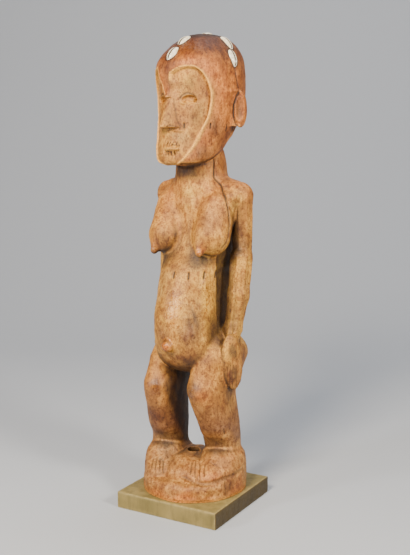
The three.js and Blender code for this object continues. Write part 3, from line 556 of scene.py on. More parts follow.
def nose_height(x, z):
    """A wedge that widens from the brow to its base, with its ridge a little to the figure's right."""
    down = (NOSE_ROOT - z) / (NOSE_ROOT - NOSE_BASE)
    grown = np.clip(down, 0, 1)
    ridge, near, far, high = (first + (last - first) * grown for first, last in NOSE_SHAPE)
    flank = np.where(x > ridge, (x - ridge) / near, (ridge - x) / far)
    ends = smooth_step(*NOSE_ROOT_BLEND, down)
    ends = ends * smooth_step(NOSE_BASE - NOSE_BASE_ROUNDING, NOSE_BASE + NOSE_BASE_ROUNDING, z)
    wedge = np.clip(1 - flank, 0, 1)
    return high * ends * (1 - (1 - wedge) ** NOSE_CROWNING)


def bar_height(x, z, middle_x, middle_z, half_x, half_z, height):
    """A flat-topped bar with a narrow slope all round."""
    bar = smooth_step(half_x + TEETH_BAR_EDGE, half_x - TEETH_BAR_EDGE, np.abs(x - middle_x))
    return height * bar * smooth_step(half_z + TEETH_BAR_EDGE, half_z - TEETH_BAR_EDGE, np.abs(z - middle_z))


def face_relief(x, z, inside):
    """How far the face lies below the rounded front of the head, in millimetres: less than 0 stands up."""
    crisp = faded(x, z)
    bevel = FACE_BEVEL + (FADE_REACH - FACE_BEVEL) * (1 - crisp)
    sunk = soft_curve(FACE_DEPTH, z)[0] * smooth_step(-FACE_BEVEL / 2, bevel - FACE_BEVEL / 2, inside)
    relief = sunk - RIM_HEIGHT * crisp * (1 - smooth_step(*RIM_HALF_WIDTHS, np.abs(inside - RIM_MIDDLE)))
    relief = relief - nose_height(x, z)
    for eye_x, eye_z, side in EYES:
        q = ((x - eye_x) * side, z - eye_z)
        relief = relief + np.minimum(SOCKET_FULLNESS * bulge(*q, *SOCKET), SOCKET[-1])
        relief = relief - bulge(*q, *EYEBALL) + bulge(*q, *EYE_CORNER)
    relief = relief - bulge(x, z, *MOUTH) - bulge(x, z, *UNDER_NOSE) - bar_height(x, z, *TEETH_BAR)
    return relief + sum(bulge(x, z, *gap) for gap in TEETH_GAPS)


def head(d, p, m):
    skull = column(p, HEAD, HEAD_ROUNDNESS)
    relief = face_relief(p[0], p[2], face_inside(p))
    skull = skull + relief * smooth_step(FACE_FRONT, 0, p[1])
    facing = turned(tuple(m[i] - EAR[0][i] for i in range(3)), -math.radians(EAR_FACING))
    ear = cut(ellipsoid(m, *EAR), ellipsoid(facing, *EAR_HOLLOW), EAR_HOLLOW_SOFT)
    for tab in EAR_TABS:
        ear = join(ear, limb(m, *tab), EAR_SOFT)
    skull = join(join(skull, limb(m, *EAR_ROOT), EAR_ROOT_SOFT), ear, EAR_SOFT)
    return join(join(d, ellipsoid(p, *NECK), NECK_SOFT), skull, HEAD_SOFT)


# Each part of the figure, with the heights between which it has a say in the form.
PARTS = [
    (base_and_feet, 0, 100),
    (legs, 50, 256),
    (trunk, 170, 445),
    (bust, 315, 455),
    (arms, 150, 440),
    (head, 365, 640),
]


FAR = 60.0  # distance given to points that no part reaches


def carving(point):
    """Distance in millimetres from points to the figure's surface, negative inside it."""
    p = turned(point, -log_turn(point[2]))
    m = (np.abs(p[0]), p[1], p[2])
    low, high = np.min(point[2]), np.max(point[2])
    d = np.full(np.broadcast(p[0], p[1], p[2]).shape, FAR)
    for part, foot, top in PARTS:
        if low < top and high > foot:
            d = part(d, p, m)
    return np.maximum(d, FLOOR - point[2])


def slope_at(points, step=0.4):
    """The outward direction of the form at points, worked out from values a step to each side."""
    slope = np.empty_like(points)
    for i in range(3):
        ahead, behind = points.copy(), points.copy()
        ahead[:, i] += step
        behind[:, i] -= step
        slope[:, i] = (carving(ahead.T) - carving(behind.T)) / (2 * step)
    return slope


# Its fine cuts: knife lines for toes, fingers, face and belly, and the drying crack down its left side.
# Each is a line of points near the surface, with a half width, a depth and a darkness, laid on the form.
TOE_CUTS = [[(11, -30, 61), (14.5, -42, 50.5)], [(15, -28, 62), (22.5, -47, 51.5)]]
TOE_CUTS += [[(21.5, -29, 64), (29.5, -49, 53)], [(29, -32, 65.5), (36, -48, 55)]]
TOE_CUTS += [[(-47, -34, 63), (-41, -46, 53.5)], [(-41, -34, 65), (-34.5, -47.5, 52)]]
TOE_CUTS += [[(-35, -34.5, 65), (-28, -48, 52)], [(-29.5, -35, 63), (-23, -48, 51)]]
# the step where the feet overhang the base: a wide cut, darkened with painted shade
FOOT_RIM = [(8, -46, 47), (27, -54, 46), (45, -52, 47.5), (57, -40, 49), (66, -22, 51), (71, -4, 53)]
FOOT_LINE = [(35, -29.7, 68), (43, -32, 66), (52.3, -30.3, 62.6)]
BASE_CRACK = [(59, -30, 57), (61, -33, 43), (61.5, -34, 27)]
CALF_CRACK = [(52.7, -20.8, 112), (54, -20, 104)]
BELLY_CUT_TOPS = [(0.5, -43), (21.5, -38.5), (36.2, -24), (41, -5.5)]
BELLY_CUTS = [[(x, y, 318), (x + 0.8, y - 2, 310.5)] for x, y in BELLY_CUT_TOPS]
FACE_CUTS = [[(18.7, -45, 504.5), (18.2, -44, 499)], [(40.5, -19, 504), (40, -19, 499)]]
FACE_CUTS += [[(47, 9, 503), (46, 9, 496)]]
FINGER_CUTS = [[(64, -16, 200), (57.5, -14, 171)], [(66.5, -14, 200), (60, -11.5, 167)]]
FINGER_CUTS += [[(68.5, -10.5, 199), (62.5, -8, 168)], [(70, -6, 197), (65, -4, 171)]]
FOREARM_GROOVE = [(61, 8, 303), (60, 8, 270), (61, 5, 238)]
ARM_LINE = [(68, 8, 416), (65, 7, 402), (60, 8, 390), (54, 11, 378), (48, 16, 362)]
HEAD_CRACK = [(49.5, 20, 581), (51.4, 21.8, 565), (51.8, 26.8, 547), (54, 19.6, 538), (52.5, 16, 528)]
HEAD_CRACK += [(51, 16.5, 514), (52, 23, 502), (43, 30, 496.5), (39, 22, 485), (37, 20, 470)]
BODY_CRACK = [(29.5, 5, 460), (32.4, 1.4, 437), (40.7, 2.6, 428.5), (52.4, -3.5, 414), (58.7, -4.7, 396)]
BODY_CRACK += [(60.6, -4.9, 379), (61.3, -9.8, 363.5), (59, -17, 351)]
# arcs over the eyeballs: shallow cuts, darkened with painted shade of the sockets
EYELIDS = [[(12.5, -46, 535), (19, -45, 538), (26, -42, 536.5), (29.5, -40, 532)]]
EYELIDS += [[(-10, -47, 535), (-17, -46, 538), (-24, -44, 536)]]
LIPS = [[(-6, -48, 477.2), (4, -50, 477.8), (14, -47, 477)]]
LIPS += [[(-5, -48, 470.2), (4, -50, 469.6), (13, -47, 470.4)]]
TEETH = [[(x, -49, 478), (x + 0.3, -49, 481.5)] for x in (-3.5, 1, 6, 11)]
TEETH += [[(x, -49, 469.8), (x, -49, 465.5)] for x in (-5, -0.5, 4.5, 9.5)]
NOSE_EDGES = [[(-14, -50, 499), (4, -55, 498), (14, -48, 498.5)]]
NOSE_EDGES += [[(6.5, -50, 534), (11, -49, 515), (14.5, -47.5, 500)]]
CUTS = [(line, 1.0, 0.9, 0.7) for line in TOE_CUTS]
CUTS += [(line, 1.4, 0.5, 0.75) for line in EYELIDS]
CUTS += [(line, 1.1, 0.8, 0.85) for line in LIPS]
CUTS += [(line, 1.1, 1.0, 1) for line in TEETH]
CUTS += [(line, 1.3, 0.5, 0.5) for line in NOSE_EDGES]
CUTS += [(line, 1.5, 1.5, 1) for line in BELLY_CUTS + FACE_CUTS]
CUTS += [(line, 0.9, 0.9, 0.6) for line in FINGER_CUTS]
CUTS += [(FOOT_RIM, 3.0, 1.6, 0.45), (FOOT_LINE, 0.9, 0.5, 0.3), (BASE_CRACK, 0.8, 0.8, 0.6)]
CUTS += [(CALF_CRACK, 0.9, 1.0, 0.9), (FOREARM_GROOVE, 2.0, 1.3, 0.5), (ARM_LINE, 2.0, 1.0, 0.3)]
CUTS += [(HEAD_CRACK, 1.6, 2.0, 1), (BODY_CRACK, 1.3, 2.0, 1)]
CUT_STEP = 4  # between a laid line's points
CUT_ROUNDS = 6  # times that they are moved towards the surface
CUT_PROFILE = (0.35, 1.35)  # in half widths: where a cut's floor ends and where its edge is
CUT_MARGIN = 1.5


def laid_on_form(line):
    """A cut's points in the frame, close together and moved onto the form."""
    spots = [np.array(line[0], float)]
    for start, end in zip(line, line[1:]):
        steps = max(1, round(math.dist(start, end) / CUT_STEP))
        spots += [np.array(start) + np.subtract(end, start) * (i + 1) / steps for i in range(steps)]
    local = np.array(spots)
    spots = np.stack(turned(local.T, log_turn(local[:, 2])), axis=1)
    for _ in range(CUT_ROUNDS):
        slope = slope_at(spots)
        spots = spots - slope * (carving(spots.T) / np.maximum((slope**2).sum(1), 0.1))[:, None]
    return spots


def cut_depths(points):
    """How deep the cuts go at points on the surface, and how dark they are there, from 0 to 1."""
    depth, share = np.zeros(len(points)), np.zeros(len(points))
    for line, half_width, deep, dark in CUTS:
        spots = laid_on_form(line)
        reach = half_width + CUT_MARGIN
        for start, end in zip(spots, spots[1:]):
            above = points > np.minimum(start, end) - reach
            near = np.flatnonzero(np.all(above & (points < np.maximum(start, end) + reach), axis=1))
            _, away = along_limb(points[near].T, start, end)
            inside = 1 - smooth_step(*CUT_PROFILE, length(away) / half_width)
            depth[near] = np.maximum(depth[near], deep * inside)
            share[near] = np.maximum(share[near], dark * inside)
    return depth, share


# Its surface: one vertex in each grid cell that the surface crosses, and one square for each grid edge.
CELL = 1.0
GRID_LOW = np.array([-82.0, -76.0, 20.5])
GRID_HIGH = np.array([82.0, 90.0, 622.0])
LAYERS = 24  # worked out at a time


def grid_values():
    counts = np.ceil((GRID_HIGH - GRID_LOW) / CELL).astype(int) + 1
    x, y, z = (GRID_LOW[i] + CELL * np.arange(counts[i]) for i in range(3))
    values = np.empty(counts, np.float32)
    for k in range(0, counts[2], LAYERS):
        layer = z[None, None, k : k + LAYERS]
        values[:, :, k : k + LAYERS] = carving((x[:, None, None], y[None, :, None], layer))
    return values


def surface_of(values):
    """Vertices in grid steps, and squares, of the surface where the values pass through zero."""
    inside = values < 0
    ends = [n - 1 for n in values.shape]
    offsets = [(n & 1, (n >> 1) & 1, n >> 2) for n in range(8)]
    windows = [tuple(slice(o[i], ends[i] + o[i]) for i in range(3)) for o in offsets]
    count = sum(inside[w].astype(np.uint8) for w in windows)
    active = (count > 0) & (count < 8)
    cells = np.argwhere(active)
    at = np.stack([values[w][active] for w in windows], axis=1)
    total = np.zeros((len(cells), 3))
    crossings = np.zeros(len(cells))
    for n in range(8):
        for axis in range(3):
            if offsets[n][axis]:
                continue
            o = n | (1 << axis)
            crossed = (at[:, n] < 0) != (at[:, o] < 0)
            t = np.where(crossed, at[:, n] / np.where(crossed, at[:, n] - at[:, o], 1), 0)
            place = np.array(offsets[n], float)[None, :] + t[:, None] * np.eye(3)[axis][None, :]
            total += place * crossed[:, None]
            crossings += crossed
    vertices = cells + total / crossings[:, None]
    number = np.full(active.shape, -1, np.int32)
    number[active] = np.arange(len(cells))
    squares = []
    for axis in range(3):
        u, v = (axis + 1) % 3, (axis + 2) % 3
        first = [slice(1, n - 1) for n in values.shape]
        second = list(first)
        first[axis], second[axis] = slice(0, ends[axis]), slice(1, ends[axis] + 1)
        changes = inside[tuple(first)] != inside[tuple(second)]
        start = np.argwhere(changes) + [0 if i == axis else 1 for i in range(3)]
        ring = []
        for back_u, back_v in ((0, 0), (1, 0), (1, 1), (0, 1)):
            near = start.copy()
            near[:, u] -= back_u
            near[:, v] -= back_v
            ring.append(number[near[:, 0], near[:, 1], near[:, 2]])
        ring = np.stack(ring, axis=1)
        outwards = inside[start[:, 0], start[:, 1], start[:, 2]]
        ring[~outwards] = ring[~outwards][:, ::-1]
        squares.append(ring)
    return vertices, np.concatenate(squares)


MAX_TRIANGLES = 192000
LEAST_SLOPE = 0.3  # keeps a point from moving far where the form is almost level
FARTHEST_MOVE = 0.6  # that a point is moved onto the form, in each direction

# Knife and adze marks: waves per millimetre, and depth. They are shallow in the face and deep on the feet.
DENTS = [(0.020, 0.5), (0.055, 0.32), (0.13, 0.16)]
FACE_SMOOTHNESS = 0.6
FOOT_ROUGHNESS = 1.2
FOOT_SPAN = (100, 75)
LOWER_EDGE_WEAR = 1.8
LOWER_EDGE_WAVES = 0.03


def uneven(points, waves, seed):
    """A smooth uneven pattern from about -1 to 1, with so many waves per millimetre."""
    rng = np.random.default_rng(seed)
    total = np.zeros(len(points))
    for _ in range(6):
        direction = rng.normal(size=3) * [1, 1, 0.6]
        total += np.sin(points @ direction * waves * math.tau + rng.uniform(0, 7))
    return total / 3


def worked(points, normal):
    """How far tool marks and cuts take the surface in, at points on the form."""
    z = points[:, 2]
    dent = sum(depth * np.abs(uneven(points, waves, seed)) for seed, (waves, depth) in enumerate(DENTS))
    in_face = smooth_step(0, 4, face_inside(turned(points.T, -log_turn(z))))
    dent = dent * smooth_step(FLOOR + 1, FLOOR + 8, z) * (1 - FACE_SMOOTHNESS * in_face)
    dent = dent * (1 + FOOT_ROUGHNESS * smooth_step(*FOOT_SPAN, z))
    ragged = 1 + 0.5 * uneven(points, LOWER_EDGE_WAVES, 31)
    at_edge = smooth_step(FLOOR + 4, FLOOR, z) * smooth_step(0.6, 0.3, np.abs(normal[:, 2]))
    return dent + LOWER_EDGE_WEAR * ragged * at_edge + cut_depths(points)[0]


def make_figure():
    """The figure's mesh: the form's surface with tool marks and cuts, thinned where it is smooth."""
    vertices, squares = surface_of(grid_values())
    points = GRID_LOW + vertices * CELL
    slope = slope_at(points)
    size = np.maximum(np.linalg.norm(slope, axis=1), LEAST_SLOPE)
    normal = slope / size[:, None]
    move = np.clip(-carving(points.T) / size, -FARTHEST_MOVE, FARTHEST_MOVE)
    points = points + normal * move[:, None]
    points = points - normal * worked(points, normal)[:, None]
    points[:, 2] = np.maximum(points[:, 2], FLOOR)
    mesh = bpy.data.meshes.new("figure_carving")
    mesh.vertices.add(len(points))
    mesh.vertices.foreach_set("co", (points * MM).astype(np.float32).ravel())
    mesh.loops.add(squares.size)
    mesh.loops.foreach_set("vertex_index", squares.astype(np.int32).ravel())
    mesh.polygons.add(len(squares))
    mesh.polygons.foreach_set("loop_start", np.arange(0, squares.size, 4, dtype=np.int32))
    mesh.update(calc_edges=True)
    piece = bpy.data.objects.new("figure_carving", mesh)
    bpy.context.collection.objects.link(piece)
    thin = piece.modifiers.new("thin", "DECIMATE")
    thin.ratio = min(1.0, MAX_TRIANGLES / (2 * len(squares)))
    thinned = bpy.data.meshes.new_from_object(piece.evaluated_get(bpy.context.evaluated_depsgraph_get()))
    piece.modifiers.clear()
    piece.data = thinned
    bpy.data.meshes.remove(mesh)
    thinned.name = "figure_carving"
    thinned.shade_smooth()
    return piece


# Its colours: dry tan wood with old patina, from pinkish dust on the feet to red brown on the crown.
TAN = "#CF923D"
GOLDEN = "#DAA33F"
PALE = "#EEBC56"
ORANGE = "#D88635"
RED_BROWN = "#814E25"
DARK_BROWN = "#5C3015"
GREY_BROWN = "#836748"
PURPLE_BROWN = "#956741"
CHEEK = "#BA9244"
LOBE_GOLD = "#C39836"
DUSTY_PINK = "#CA924A"
BARE_ORANGE = "#D28433"
# pale of rubbed wear; also the colour of painted highlights on the belly
RUBBED_AND_SHEEN = "#F5B65B"
# the dark of dirt and painted shade, laid in hollows, cuts and recesses
DIRT_AND_SHADE = "#1F120A"

# What the mottling, the grain and the specks multiply the colour by.
DULL = "#D3C7AF"
STAINED = "#C6B193"
SPOTTED = "#CDBA9D"
GRAIN = "#BFAD91"
SPECK = "#A59279"
RIM_OCHRE = "#FABB54"

# Its overall colour by height in millimetres.
HEIGHT_TONES = [(24, BARE_ORANGE), (40, DUSTY_PINK), (90, DUSTY_PINK), (105, PURPLE_BROWN), (150, TAN)]
HEIGHT_TONES += [(200, TAN), (230, GOLDEN), (330, GOLDEN), (400, TAN), (500, ORANGE), (560, ORANGE)]
HEIGHT_TONES += [(600, RED_BROWN)]

# Stained and rubbed places, and patches of painted shade and painted highlight: a point near the surface,
# reach across and up, colour and strength.
PATINA_AND_PAINTED_LIGHT = [
    ((27, -7, 606), 17, 12, DARK_BROWN, 0.8),  # crown
    ((22, -23, 599), 11, 9, DARK_BROWN, 0.6),
    ((-8, -48, 576), 12, 12, RED_BROWN, 0.7),  # brow
    ((-3, -48, 555), 7, 9, GREY_BROWN, 0.7),  # stain on the point of the forehead
    ((45, 0, 590), 16, 12, RED_BROWN, 0.5),
    ((50, -5, 537), 12, 16, ORANGE, 0.8),  # temple
    ((40, -12, 501), 12, 13, PURPLE_BROWN, 0.8),  # jaw
    ((34, -30, 468), 18, 12, PURPLE_BROWN, 0.7),
    ((44, 5, 485), 13, 16, RED_BROWN, 0.45),
    ((52, 24, 523), 8, 18, GREY_BROWN, 0.5),  # hollow of the ear
    ((0, -20, 448), 40, 9, RED_BROWN, 0.3),  # neck under the chin
    ((20, -13, 436), 22, 10, GOLDEN, 0.6),
    ((10, -17, 417), 13, 11, PALE, 0.9),  # rough pale patch on the chest
    ((5, -18, 404), 8, 8, PALE, 0.7),
    ((9, -22, 364), 8, 28, GOLDEN, 0.9),  # breastbone
    ((43, -29, 385), 15, 14, PURPLE_BROWN, 0.45),  # left breast
    ((41, -39, 345), 8, 8, ORANGE, 0.8),
    ((-36, -38, 348), 11, 10, ORANGE, 0.6),  # right breast
    ((64, 5, 403), 10, 18, PALE, 0.8),  # flat below the shoulder
    ((43, 16, 436), 22, 9, PURPLE_BROWN, 0.6),  # shoulder
    ((64, 17, 425), 10, 8, RED_BROWN, 0.5),
    ((61, 15, 365), 8, 24, PURPLE_BROWN, 0.8),  # inner flat of the arm
    ((60, 19, 347), 12, 10, GREY_BROWN, 0.5),
    ((66, 18, 290), 7, 34, PURPLE_BROWN, 0.6),  # forearm
    ((9, -52, 284), 7, 24, RUBBED_AND_SHEEN, 0.9),  # painted highlight: the glossy streak down the belly, which is also polished
    ((10, -58, 256), 7, 20, RUBBED_AND_SHEEN, 0.7),
    ((32, -45, 256), 13, 26, GREY_BROWN, 0.85),  # dark patch beside it
    ((28, -49, 238), 14, 14, PURPLE_BROWN, 0.8),
    # painted highlight: a pale streak along the belly's left arris
    ((38, -27, 290), 7, 26, PALE, 0.4),
    ((-10, -58, 236), 14, 14, PURPLE_BROWN, 0.6),
    ((4, -66, 225), 11, 10, ORANGE, 0.9),  # navel
    ((20, -45, 207), 26, 10, RED_BROWN, 0.75),  # below the belly
    ((60, 29, 204), 14, 18, PURPLE_BROWN, 0.5),  # hip
    ((65, -12, 183), 9, 15, RED_BROWN, 0.75),  # fingers
    ((25, -50, 167), 11, 15, DARK_BROWN, 0.75),  # left knee
    ((25, -50, 167), 10, 14, GREY_BROWN, 0.6),
    ((39, -48, 158), 12, 10, ORANGE, 0.6),
    ((44, -36, 132), 18, 22, RED_BROWN, 0.5),  # left shin
    ((-30, -48, 163), 11, 15, RED_BROWN, 0.75),  # right knee
    ((-42, -47, 150), 10, 13, RED_BROWN, 0.6),
    ((-40, -30, 116), 16, 22, RED_BROWN, 0.75),  # right shin: a stain, deepened with painted shade
    ((-17, -10, 140), 18, 50, DARK_BROWN, 1.0),  # dirt and painted shade on the inner side of the right leg
    ((-32, -20, 76), 14, 10, GREY_BROWN, 0.6),  # right instep
    ((-4, -12, 70), 14, 9, GREY_BROWN, 0.5),  # mound
    ((66, -25, 38), 16, 12, RED_BROWN, 0.7),  # base
    ((-45, -49, 44), 14, 12, PURPLE_BROWN, 0.4),
]
PATINA_AND_PAINTED_LIGHT += [
    ((0, 8, 612), 34, 16, DARK_BROWN, 1.0),  # top of the crown
    ((30, -14, 600), 22, 12, DARK_BROWN, 0.8),
    ((14, -20, 596), 16, 12, RED_BROWN, 0.9),
    ((42, 10, 594), 14, 12, DARK_BROWN, 0.6),
    ((26, -36, 582), 16, 6, ORANGE, 0.6),
    ((22, -43, 538.5), 10, 4, RED_BROWN, 0.8),  # painted shade under the brow, over the near eye
    # painted shade over the far eye
    ((-17, -47, 539), 8, 5, RED_BROWN, 0.8),
    # painted shade in the pit at the near eye's outer corner
    ((28, -40, 533), 3, 3, DARK_BROWN, 0.8),
    ((18.8, -47, 530.3), 6, 2.2, RUBBED_AND_SHEEN, 1.0),  # ball of the near eye
    ((24, -42, 552), 13, 9, LOBE_GOLD, 0.8),
    ((33, -34, 515), 11, 20, GREY_BROWN, 0.6),  # cheek
    ((20, -45, 487), 12, 9, CHEEK, 0.6),
    ((2, -55, 512), 9, 14, RED_BROWN, 0.7),  # nose
    # painted highlight on the wing of the nose
    ((-10, -55, 503), 5, 5, ORANGE, 0.8),
    ((4, -52, 489), 12, 4, GREY_BROWN, 0.8),
    ((4.2, -50, 473.4), 9, 1.9, RUBBED_AND_SHEEN, 1.0),  # teeth
    ((-1, 2, 66), 9, 16, DARK_BROWN, 1.0),  # painted shade in the hole
    ((-34, -42, 340), 14, 5, DARK_BROWN, 0.8),  # painted shade under the right breast
    ((36, -36, 338), 18, 5, DARK_BROWN, 0.7),  # painted shade under the left breast
    # painted shade on the inner side of the right breast
    ((-24, -32, 352), 13, 18, DARK_BROWN, 0.8),
    ((18, -24, 345), 10, 18, RED_BROWN, 0.35),
    ((-14, -44, 300), 12, 30, GREY_BROWN, 0.4),  # belly, left of the streak
    ((0, -50, 325), 26, 10, PURPLE_BROWN, 0.4),
    ((40, -40, 53), 24, 7, ORANGE, 0.5),
    ((-28, -30, 62), 18, 9, GREY_BROWN, 0.5),
]

# Places polished by hands: a point near the surface, reach across and up.
POLISHED = [((9, -55, 270), 14, 40), ((4, -66, 225), 12, 12), ((-30, -48, 163), 9, 14)]
POLISHED += [((25, -50, 167), 10, 13), ((39, -25, 285), 9, 36), ((37, -38, 345), 9, 9)]
POLISHED += [((-38, -36, 345), 9, 9), ((0, -30, 600), 30, 18)]


def closeness(local, middle, across, up):
    """1 at a place and falling softly to 0 at about twice the reach."""
    out = ((local[0] - middle[0]) / across) ** 2 + ((local[1] - middle[1]) / across) ** 2
    return np.exp(-out - ((local[2] - middle[2]) / up) ** 2)


def patina_and_painted_light_colours(points, local):
    """The wood's colour at points: its colour by height, with each stained or rubbed place and each patch of
    painted shade or highlight laid over it.
    """
    heights = [row[0] for row in HEIGHT_TONES]
    tones = np.array([linear(row[1])[:3] for row in HEIGHT_TONES])
    at = points[:, 2] + 12 * uneven(points, 0.012, 21)
    colours = np.stack([np.interp(at, heights, tones[:, c]) for c in range(3)], axis=1)
    ragged = 1 + 0.35 * uneven(points, 0.045, 22) + 0.25 * uneven(points, 0.12, 23)
    for middle, across, up, colour, strength in PATINA_AND_PAINTED_LIGHT:
        share = np.clip(strength * closeness(local, middle, across, up) * ragged, 0, 1)[:, None]
        colours = colours * (1 - share) + np.array(linear(colour)[:3]) * share
    return colours


# Where ridges are rubbed pale and hollows hold dirt and painted shade, from how the form bends within a reach
# in millimetres.
FINE_REACH = 1.6
BROAD_REACH = 7.0
RECESS_REACH = 24
RECESS_ROOM = (0.25, 1.0)  # free room in front of a point, as a share of the reach: full painted shade, and none
RIM_BAND = (0.6, 3.2)  # half widths of the pale band along the face's rim
CROWN_SPAN = (590, 602)  # the crown isn't rubbed


def bend(points, normal, here, reach):
    """How far the form bends within a reach, more than 0 on a ridge and less in a hollow."""
    out = carving((points + normal * reach).T)
    within = carving((points - normal * reach).T)
    return (out + within - 2 * here) / (2 * reach)


def store_finish(mesh):
    """Keeps the wood's colour, its ridges, its hollows dark with dirt and painted shade, and its polished
    places on the mesh.
    """
    points = vertex_array(mesh) / MM
    slope = slope_at(points)
    size = np.maximum(np.linalg.norm(slope, axis=1), LEAST_SLOPE)
    normal = slope / size[:, None]
    here = carving(points.T)
    fine = bend(points, normal, here, FINE_REACH) / size
    broad = bend(points, normal, here, BROAD_REACH) / size
    room = carving((points + normal * RECESS_REACH).T) / (RECESS_REACH * size)
    shade_in_recesses = 1 - smooth_step(*RECESS_ROOM, room)
    local = turned(points.T, -log_turn(points[:, 2]))
    inside = face_inside(local)
    in_face = smooth_step(-3, 3, inside)
    rim = faded(local[0], local[2]) * (1 - smooth_step(*RIM_BAND, np.abs(inside + 0.6)))
    cut_share = cut_depths(points + normal * -here[:, None])[1]
    ridge = np.maximum(smooth_step(0.1, 0.5, fine), 0.6 * smooth_step(0.1, 0.5, broad))
    worn = ridge * (1 - smooth_step(*CROWN_SPAN, points[:, 2]))
    # dirt and painted shade in creases and broad hollows, and painted shade in deep recesses outside the face
    dirt_and_shade_in_hollows = 0.7 * smooth_step(0.12, 0.6, -broad) + 0.8 * smooth_step(0.15, 0.55, -fine)
    dirt_and_shade_in_hollows = np.maximum(dirt_and_shade_in_hollows * (1 - 0.65 * in_face), 0.85 * shade_in_recesses * (1 - in_face)) * (1 - 0.9 * rim)
    dirt_and_shade = np.clip(np.maximum(dirt_and_shade_in_hollows, cut_share), 0, 1)
    polish = np.clip(sum(closeness(local, *place) for place in POLISHED), 0, 1)
    store(mesh, "worn", worn * (1 - cut_share))
    store(mesh, "dirt_and_shade", dirt_and_shade)
    store(mesh, "rim", rim * (1 - cut_share))
    store(mesh, "face", in_face)
    store(mesh, "polish", polish * (1 - dirt_and_shade))
    colours = np.ones((len(points), 4), np.float32)
    colours[:, :3] = patina_and_painted_light_colours(points, local)
    mesh.attributes.new("tone", "FLOAT_COLOR", "POINT").data.foreach_set("color", colours.ravel())


figure = make_figure()
store_finish(figure.data)


# Its mottling, broad to fine: patches per metre, detail, roughness, stretch along the log, where the noise
# starts to tint and is full, and the tint. The patches are 22, 10, 5, 3 and 2 mm across.
MOTTLING = {
    "clouds": (45, 5, 0.65, 0.8, 0.58, 0.42, DULL),
    "stains": (95, 6, 0.7, 0.85, 0.46, 0.7, STAINED),
    "spots": (210, 5, 0.7, 0.7, 0.5, 0.6, SPOTTED),
    "grain": (300, 5, 0.7, 0.3, 0.5, 0.72, GRAIN),  # coarser than real grain, so that it shows
    "nicks": (420, 4, 0.75, 1, 0.54, 0.64, SPECK),
}
FACE_SHARE = 0.6  # of the face's own colour over the patina

# Laid over it: the stored share, how far the nicks break it up (from, to, share there), and the colour.
LAID_OVER = [
    ("worn", 0.3, 0.6, 0.6, 0.24, RUBBED_AND_SHEEN),
    ("rim", 0.4, 0.65, 0.9, 0.27, RIM_OCHRE),
    # dirt and painted shade in hollows, cuts and recesses, and the dark gum round the shells
    ("dirt_and_shade", 0.0, 1.0, 0.93, 0.93, DIRT_AND_SHADE),
]
RELIEF = [("grain", 0.35, 0.8), ("nicks", 0.45, 0.9), ("swell", 0.35, 1.6)]  # strength and depth


def carved_wood():
    """Dry hardwood, oiled and handled: patina with painted shade and highlights over mottled grain, with dark
    cuts, dirt and painted shade in hollows, and pale rubbed ridges.
    """
    material, tree, shader, place = start_material("oiled carved hardwood", 0.5, 1.5)
    stored = {}
    for name in ("worn", "rim", "dirt_and_shade", "face", "polish"):
        stored[name] = add_node(tree, "ShaderNodeAttribute", {"attribute_name": name}).outputs["Fac"]
    patina_and_painted_light = add_node(tree, "ShaderNodeAttribute", {"attribute_name": "tone"})
    blotches = add_node(tree, "ShaderNodeTexNoise", Vector=place, Scale=40, Detail=4, Roughness=0.6)
    browned = add_node(tree, "ShaderNodeMapRange", Value=blotches, From_Min=0.42, From_Max=0.6)
    lobes = add_node(tree, "ShaderNodeMix", MIX, _0=browned, _6=linear(LOBE_GOLD), _7=linear(CHEEK))
    in_face = add_node(tree, "ShaderNodeMath", TIMES, _0=stored["face"], _1=FACE_SHARE)
    colour = add_node(tree, "ShaderNodeMix", MIX, _0=in_face, _6=patina_and_painted_light, _7=lobes.outputs[2]).outputs[2]
    swell = add_node(tree, "ShaderNodeTexNoise", Vector=place, Scale=120, Detail=3, Roughness=0.6)
    patterns = {"swell": swell}
    for name, (scale, detail, roughness, stretch, low, high, tint) in MOTTLING.items():
        along = add_node(tree, "ShaderNodeMapping", Vector=place, Scale=(1, 1, stretch))
        patterns[name] = add_node(
            tree, "ShaderNodeTexNoise", Vector=along, Scale=scale, Detail=detail, Roughness=roughness
        )
        share = add_node(tree, "ShaderNodeMapRange", Value=patterns[name], From_Min=low, From_Max=high)
        colour = add_node(tree, "ShaderNodeMix", DARKEN, _0=share, _6=colour, _7=linear(tint)).outputs[2]
    for name, low, high, first, last, tint in LAID_OVER:
        broken = add_node(
            tree,
            "ShaderNodeMapRange",
            Value=patterns["nicks"],
            From_Min=low,
            From_Max=high,
            To_Min=first,
            To_Max=last,
        )
        share = add_node(tree, "ShaderNodeMath", TIMES, _0=stored[name], _1=broken)
        colour = add_node(tree, "ShaderNodeMix", MIX, _0=share, _6=colour, _7=linear(tint)).outputs[2]
    tree.links.new(colour, shader.inputs["Base Color"])
    glossy = add_node(
        tree, "ShaderNodeMapRange", Value=stored["polish"], From_Max=0.8, To_Min=0.62, To_Max=0.27
    )
    tree.links.new(glossy.outputs[0], shader.inputs["Roughness"])
    below = {}
    for name, strength, depth in RELIEF:
        bump = add_node(
            tree, "ShaderNodeBump", Height=patterns[name], Strength=strength, Distance=depth * MM, **below
        )
        below = {"Normal": bump}
    tree.links.new(bump.outputs[0], shader.inputs["Normal"])
    return material


finish_piece(figure, carved_wood(), ["figure"])


